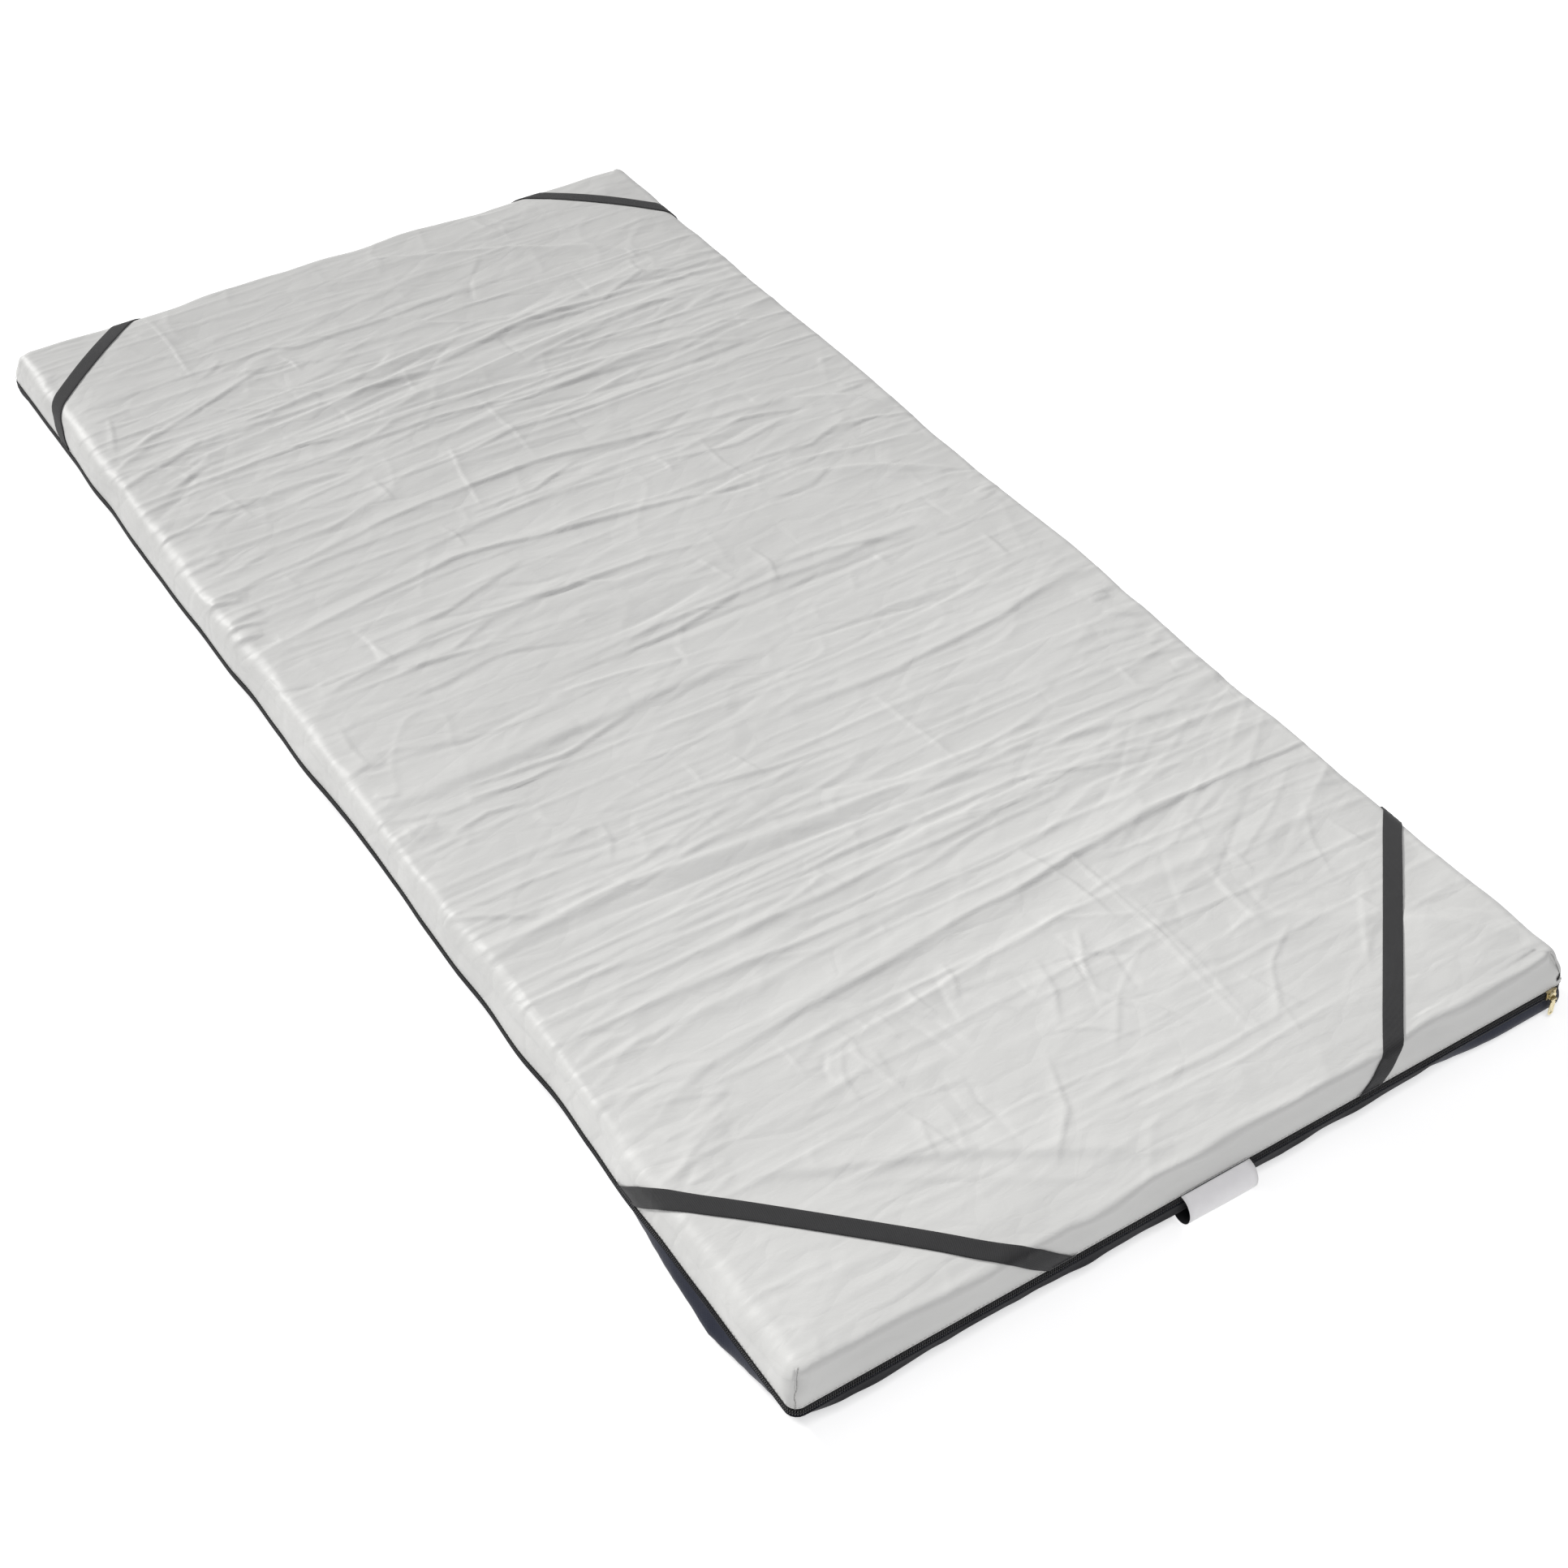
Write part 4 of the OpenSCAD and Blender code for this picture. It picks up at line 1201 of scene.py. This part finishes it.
def strap(name):
    """One elastic strap: a span that lifts and two ends, stitched in the hem."""
    line, across = strap_run(name)
    outline = strap_outline()
    where = line[:, None] + across[:, None] * outline[None, :, :1]
    where = np.clip(where, 0.8 * MM, None)
    points, away = strap_place(name, where[..., 0], where[..., 1])
    points = points + away * (outline[None, :, 1:] + STRAP_T / 2 + 0.4 * MM)
    n, k = points.shape[:2]
    along = running_length(line)
    split_z = BASE_HEM_Z + 19 * MM
    high = np.nonzero(points[..., 2].min(1) > split_z)[0]
    first, last = high[0], high[-1]
    made = []
    parts = (("span", first, last + 1, ()), ("a", 0, first + 1, (0,)), ("b", last, n, (-1,)))
    for key, start, end, closed_ends in parts:
        part = points[start:end]
        uv = np.stack(np.meshgrid(along[start:end], outline[:, 0], indexing="ij"), -1)
        faces = quads(end - start, k, close_columns=True).tolist()
        faces += [[(row % (end - start)) * k + i for i in range(k)] for row in closed_ends]
        piece = mesh_piece(f"{name}_{key}", part.reshape(-1, 3), faces, uv.reshape(-1, 2))
        tidy_normals(piece)
        made.append(piece)
    span = made[0]
    span.name = span.data.name = name + "_band"
    finish(span, name, name, elastic)
    ends = joined(name + "_band_ends", made[1:])
    ends.data.materials.append(elastic)
    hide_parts(name + "_ends")
    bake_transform(ends)
    feet = []
    for axis in (0, 1):
        middle = line[int(np.argmin(np.abs(line[:, axis])))]
        place, _ = strap_place(name, *np.clip(middle, 1.5 * MM, None))
        across_foot, outward = np.zeros(3), np.zeros(3)
        across_foot[1 - axis], outward[axis] = 1, STRAPS[name][axis]
        feet.append((place, across_foot, outward))
    return feet


def bar_tacks(feet):
    """Zigzag stitching across each strap foot."""
    unit = capsule(3.0 * MM, 0.3 * MM, sides=5, rings=2)
    places = []
    up = np.array([0, 0, 1.0])
    for origin, across, away in feet:
        for k, x in enumerate(np.linspace(-12, 12, 21)):
            lean = up + across * (0.32 if k % 2 else -0.32)
            lean /= np.linalg.norm(lean)
            centre = origin + across * x * MM + away * 1.8 * MM + up * 1.6 * MM
            places.append((centre, lean, away))
    piece = scatter("strap_tack_stitches", unit, places)
    finish(piece, "mattress", "strap_bar_tacks", black_thread)


# ---------------------------------------------------------------- label and corner seams
def label():
    """The care label: a sheet sewn in the hem, curled outward and under, dark on the inside."""
    low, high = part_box("care_label")
    centre_x, half = (low.x + high.x) / 2, (high.x - low.x) / 2
    angles = np.radians(np.linspace(-3, 216, 44))
    curl = np.array([(-(HALF_L + (2 + 14.6 * math.sin(a)) * MM), (18 + 16.9 * math.cos(a)) * MM)
                     for a in angles])
    centres = np.column_stack([np.full(len(curl), centre_x), curl])
    across = np.tile([1.0, 0, 0], (len(centres), 1))
    away = np.cross(headings(centres), across)
    away *= np.sign((away * (centres - centres.mean(0))).sum(1))[:, None]
    xs = np.linspace(-half, half, 13)
    thick = 0.2 * MM
    sections = []
    for k in range(len(centres)):
        t = k / (len(centres) - 1)
        ripple = 0.5 * MM * t * np.sin(xs / half * 2.4 + 0.6) * smooth(t * 4)
        outer = np.column_stack([xs, ripple + thick])
        inner = np.column_stack([xs, ripple - thick])[::-1]
        sections.append(np.concatenate([outer, inner]))
    piece = sweep("care_label_sheet", centres, across, away, np.array(sections))
    tidy_normals(piece)
    finish(piece, "label", "care_label", label_outside)
    piece.data.materials.append(label_inside)
    columns = 2 * len(xs)
    for k, face in enumerate(piece.data.polygons[:(len(centres) - 1) * columns]):
        face.material_index = int(len(xs) - 1 < k % columns < columns - 1)

    low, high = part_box("label_stitching")
    unit = capsule(2.6 * MM, 0.25 * MM, sides=5, rings=2)
    places = [((x, -HALF_L - 0.75 * MM, (low.z + high.z) / 2), (1, 0, 0), (0, 1, 0))
              for x in np.arange(low.x + 2 * MM, high.x - 1 * MM, 3.4 * MM)]
    finish(scatter("label_stitches", unit, places), "mattress", "label_stitching", white_thread)


def corner_seams():
    """A sewn seam up each corner of the base cover: a raised ridge with dark stitches beside it."""
    ridges, stitches = [], []
    unit = capsule(2.4 * MM, 0.3 * MM, sides=5, rings=2)
    ridge_outline = [(0.7 * math.cos(a), 0.55 * math.sin(a))
                     for a in np.linspace(0, 2 * math.pi, 8, endpoint=False)]
    for k, (sx, sy) in enumerate(((-1, -1), (1, -1), (1, 1), (-1, 1))):
        out = np.array([sx, sy, 0]) / math.sqrt(2)
        side = np.array([-out[1], out[0], 0])
        hem_x = STRAIGHT_X + CORNER_R / math.sqrt(2)
        hem_y = STRAIGHT_Y + CORNER_R / math.sqrt(2)
        roll = ((ROLL_NEAR if sy < 0 else ROLL_FAR) + (ROLL_LEFT if sx < 0 else ROLL_RIGHT)) / 2
        bottom, lean = float(roll_bottom(roll)), float(wall_angle(roll))
        top_x = HALF_W - TOP_INSET - TOP_CORNER_R * (1 - math.sqrt(0.5))
        top_y = HALF_L - TOP_INSET - TOP_CORNER_R * (1 - math.sqrt(0.5))
        route = []
        for t in np.linspace(0.97, 0, 16):
            x, y = top_x * (1 - t) + hem_x * t, top_y * (1 - t) + hem_y * t
            swell = 1.5 * MM * math.sin(math.pi * t) ** 2 + 0.4 * MM
            sway = 1.1 * MM * math.sin(t * 9 + k) * math.sin(math.pi * t)
            route.append([sx * x, sy * y, bottom * (1 - t) + BASE_HEM_Z * t]
                         + out * swell + side * sway)
        for a in np.linspace(lean + 0.2, lean + 0.8, 5):
            rise = (roll + 0.3 * MM) * (math.sin(a) - math.sin(lean))
            route.append([sx * top_x, sy * top_y, bottom + rise]
                         - out * roll * (math.cos(lean) - math.cos(a)))
        route = np.array(route)
        across = np.tile(side, (len(route), 1))
        ridges.append(sweep(f"seam_{k}", route, across, np.cross(headings(route), across),
                            np.array(ridge_outline) * MM))
        for p in even(route, 3.2 * MM):
            way = np.array([0, 0, 1.0])
            if p[2] >= bottom:
                way = (way - out) / math.sqrt(2)
            stitches.append((p + side * 1.25 * MM + out * 0.1 * MM, way, out))
    finish(joined("base_corner_seam_ridges", ridges), "mattress", "base_corner_seams", grey_sheet)
    piece = scatter("base_corner_stitches", unit, stitches)
    piece.data.materials.append(grey_thread)
    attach(piece, "mattress")


# ---------------------------------------------------------------- slider
def slider_parts():
    """The CAD's brass parts stay, with rounded edges and a detailed material: the slider with its
    crown, pin and pull tab, and the stops at the zip's two ends."""
    parts = (("zip_slider", brass, 0.35), ("slider_crown", bright_brass, 0.5),
             ("puller_pin", brass, 0.2), ("zip_puller", bright_brass, 0.3),
             ("zip_top_stops", brass, 0.4), ("zip_bottom_stop", brass, 0.4))
    for node, metal, bevel in parts:
        piece = frame["nodes"][node]
        modifier(piece, "WELD", merge_threshold=0.00001)
        modifier(piece, "BEVEL", width=bevel * MM, segments=3, limit_method="ANGLE",
                 angle_limit=math.radians(30), harden_normals=True)
        piece.data.materials.clear()
        piece.data.materials.append(metal)


# ---------------------------------------------------------------- the slack left side
# Where the hem starts to wander: how far out, and how far from the middle of the side
SLACK_FROM, SLACK_BLEND = 400 * MM, 40 * MM
SLACK_UNTIL, SLACK_END_BLEND = 0.88, 0.12


def slacken_left_side():
    """Lets the hem along the left side wander a little, with all that is sewn to it."""
    for piece in bpy.data.objects:
        if piece.type != "MESH" or piece.name in carried_over or piece.name == "floor":
            continue
        places = np.zeros(3 * len(piece.data.vertices))
        piece.data.vertices.foreach_get("co", places)
        x, y, z = places.reshape(-1, 3).T.copy()
        share = smooth((-x - SLACK_FROM) / SLACK_BLEND)
        share *= smooth((SLACK_UNTIL - np.abs(y)) / SLACK_END_BLEND)
        height = np.sin(math.pi * np.clip(z / TOP_Z, 0, 1))
        x += share * wander(y, (3.2, 0.21, 901), (2.2, 0.07, 902))
        z += share * height * wander(y, (2.6, 0.13, 903), (1.4, 0.045, 904))
        piece.data.vertices.foreach_set("co", np.stack([x, y, z], 1).ravel())
        piece.data.update()


# ---------------------------------------------------------------- camera, light and floor
# Where the camera looks from and at, its focal length in sensor widths, and its lens shift
AZIMUTH, ELEVATION, DISTANCE = math.radians(-33.816), math.radians(42.012), 2.8074
TARGET = Vector((0.0875, -0.3038, 0))
SENSOR, FOCAL_LENGTH, SHIFT_X, SHIFT_Y = 36, 1.6389, -0.0711, -0.0031
LAMP_PLACES = {"Top": (-0.2, -1.8, 2.8), "Key": (-2.6, 7.8, 5.0)}
FLOOR_HALF = 30


def set_camera():
    """A camera over the near side, turned towards the left."""
    back = Vector((math.sin(AZIMUTH) * math.cos(ELEVATION),
                   -math.cos(AZIMUTH) * math.cos(ELEVATION), math.sin(ELEVATION)))
    lens = bpy.data.cameras.new("Camera")
    lens.sensor_width, lens.lens = SENSOR, SENSOR * FOCAL_LENGTH
    lens.shift_x, lens.shift_y = SHIFT_X, SHIFT_Y
    lens.clip_end = 50
    camera = bpy.data.objects.new("Camera", lens)
    camera.matrix_world = (Matrix.Translation(TARGET + back * DISTANCE)
                           @ (-back).to_track_quat("-Z", "Y").to_matrix().to_4x4())
    bpy.context.scene.collection.objects.link(camera)
    bpy.context.scene.camera = camera
    bpy.context.scene.view_settings.view_transform = "Standard"


def set_lights():
    """Soft studio light: a pale surround, a lamp over the near side and a key light from afar."""
    world = bpy.data.worlds.new("Studio")
    world.use_nodes = True
    surround = world.node_tree.nodes["Background"].inputs
    surround["Color"].default_value = (0.96, 0.955, 1.0, 1)
    surround["Strength"].default_value = 0.26
    bpy.context.scene.world = world
    top_lamp = bpy.data.lights.new("Top", "AREA")
    top_lamp.size, top_lamp.energy = 1.6, 38
    key_lamp = bpy.data.lights.new("Key", "SUN")
    key_lamp.angle, key_lamp.energy, key_lamp.color = 0.25, 3.15, (1.0, 0.995, 0.98)
    for lamp in (top_lamp, key_lamp):
        place = Vector(LAMP_PLACES[lamp.name])
        lamp_object = bpy.data.objects.new(lamp.name, lamp)
        lamp_object.location = place
        lamp_object.rotation_euler = place.to_track_quat("Z", "Y").to_euler()
        bpy.context.scene.collection.objects.link(lamp_object)


def lay_floor():
    """A pale floor, a hair below the mattress, that shines a little so that it looks white."""
    corners = [(x * FLOOR_HALF, y * FLOOR_HALF, -0.3 * MM)
               for x, y in ((-1, -1), (1, -1), (1, 1), (-1, 1))]
    floor = mesh_piece("floor", corners, [(0, 1, 2, 3)])
    s = Shader("Studio floor", Roughness=0.9, Specular_IOR_Level=0.1,
               Emission_Color=(1, 1, 1, 1), Emission_Strength=0.6)
    s.link("Base Color", s.colours(s.noise(s.place(), 3, 2), (0.3, (0.65, 0.65, 0.65)),
                                   (0.7, (0.67, 0.67, 0.67))))
    floor.data.materials.append(s.material)


set_camera()
set_lights()
lay_floor()
base_cover()
top_cover()
foam_layers()
zip_tapes()
zip_coils()
flap_and_seam()
stitch_row("base_hem_stitches", 0, ROUND_IT - 5 * MM, BASE_HEM_Z + 2.6 * MM, 0.5 * MM, grey_thread)
bar_tacks([foot for name in STRAPS for foot in strap(name)])
label()
corner_seams()
slider_parts()
slacken_left_side()
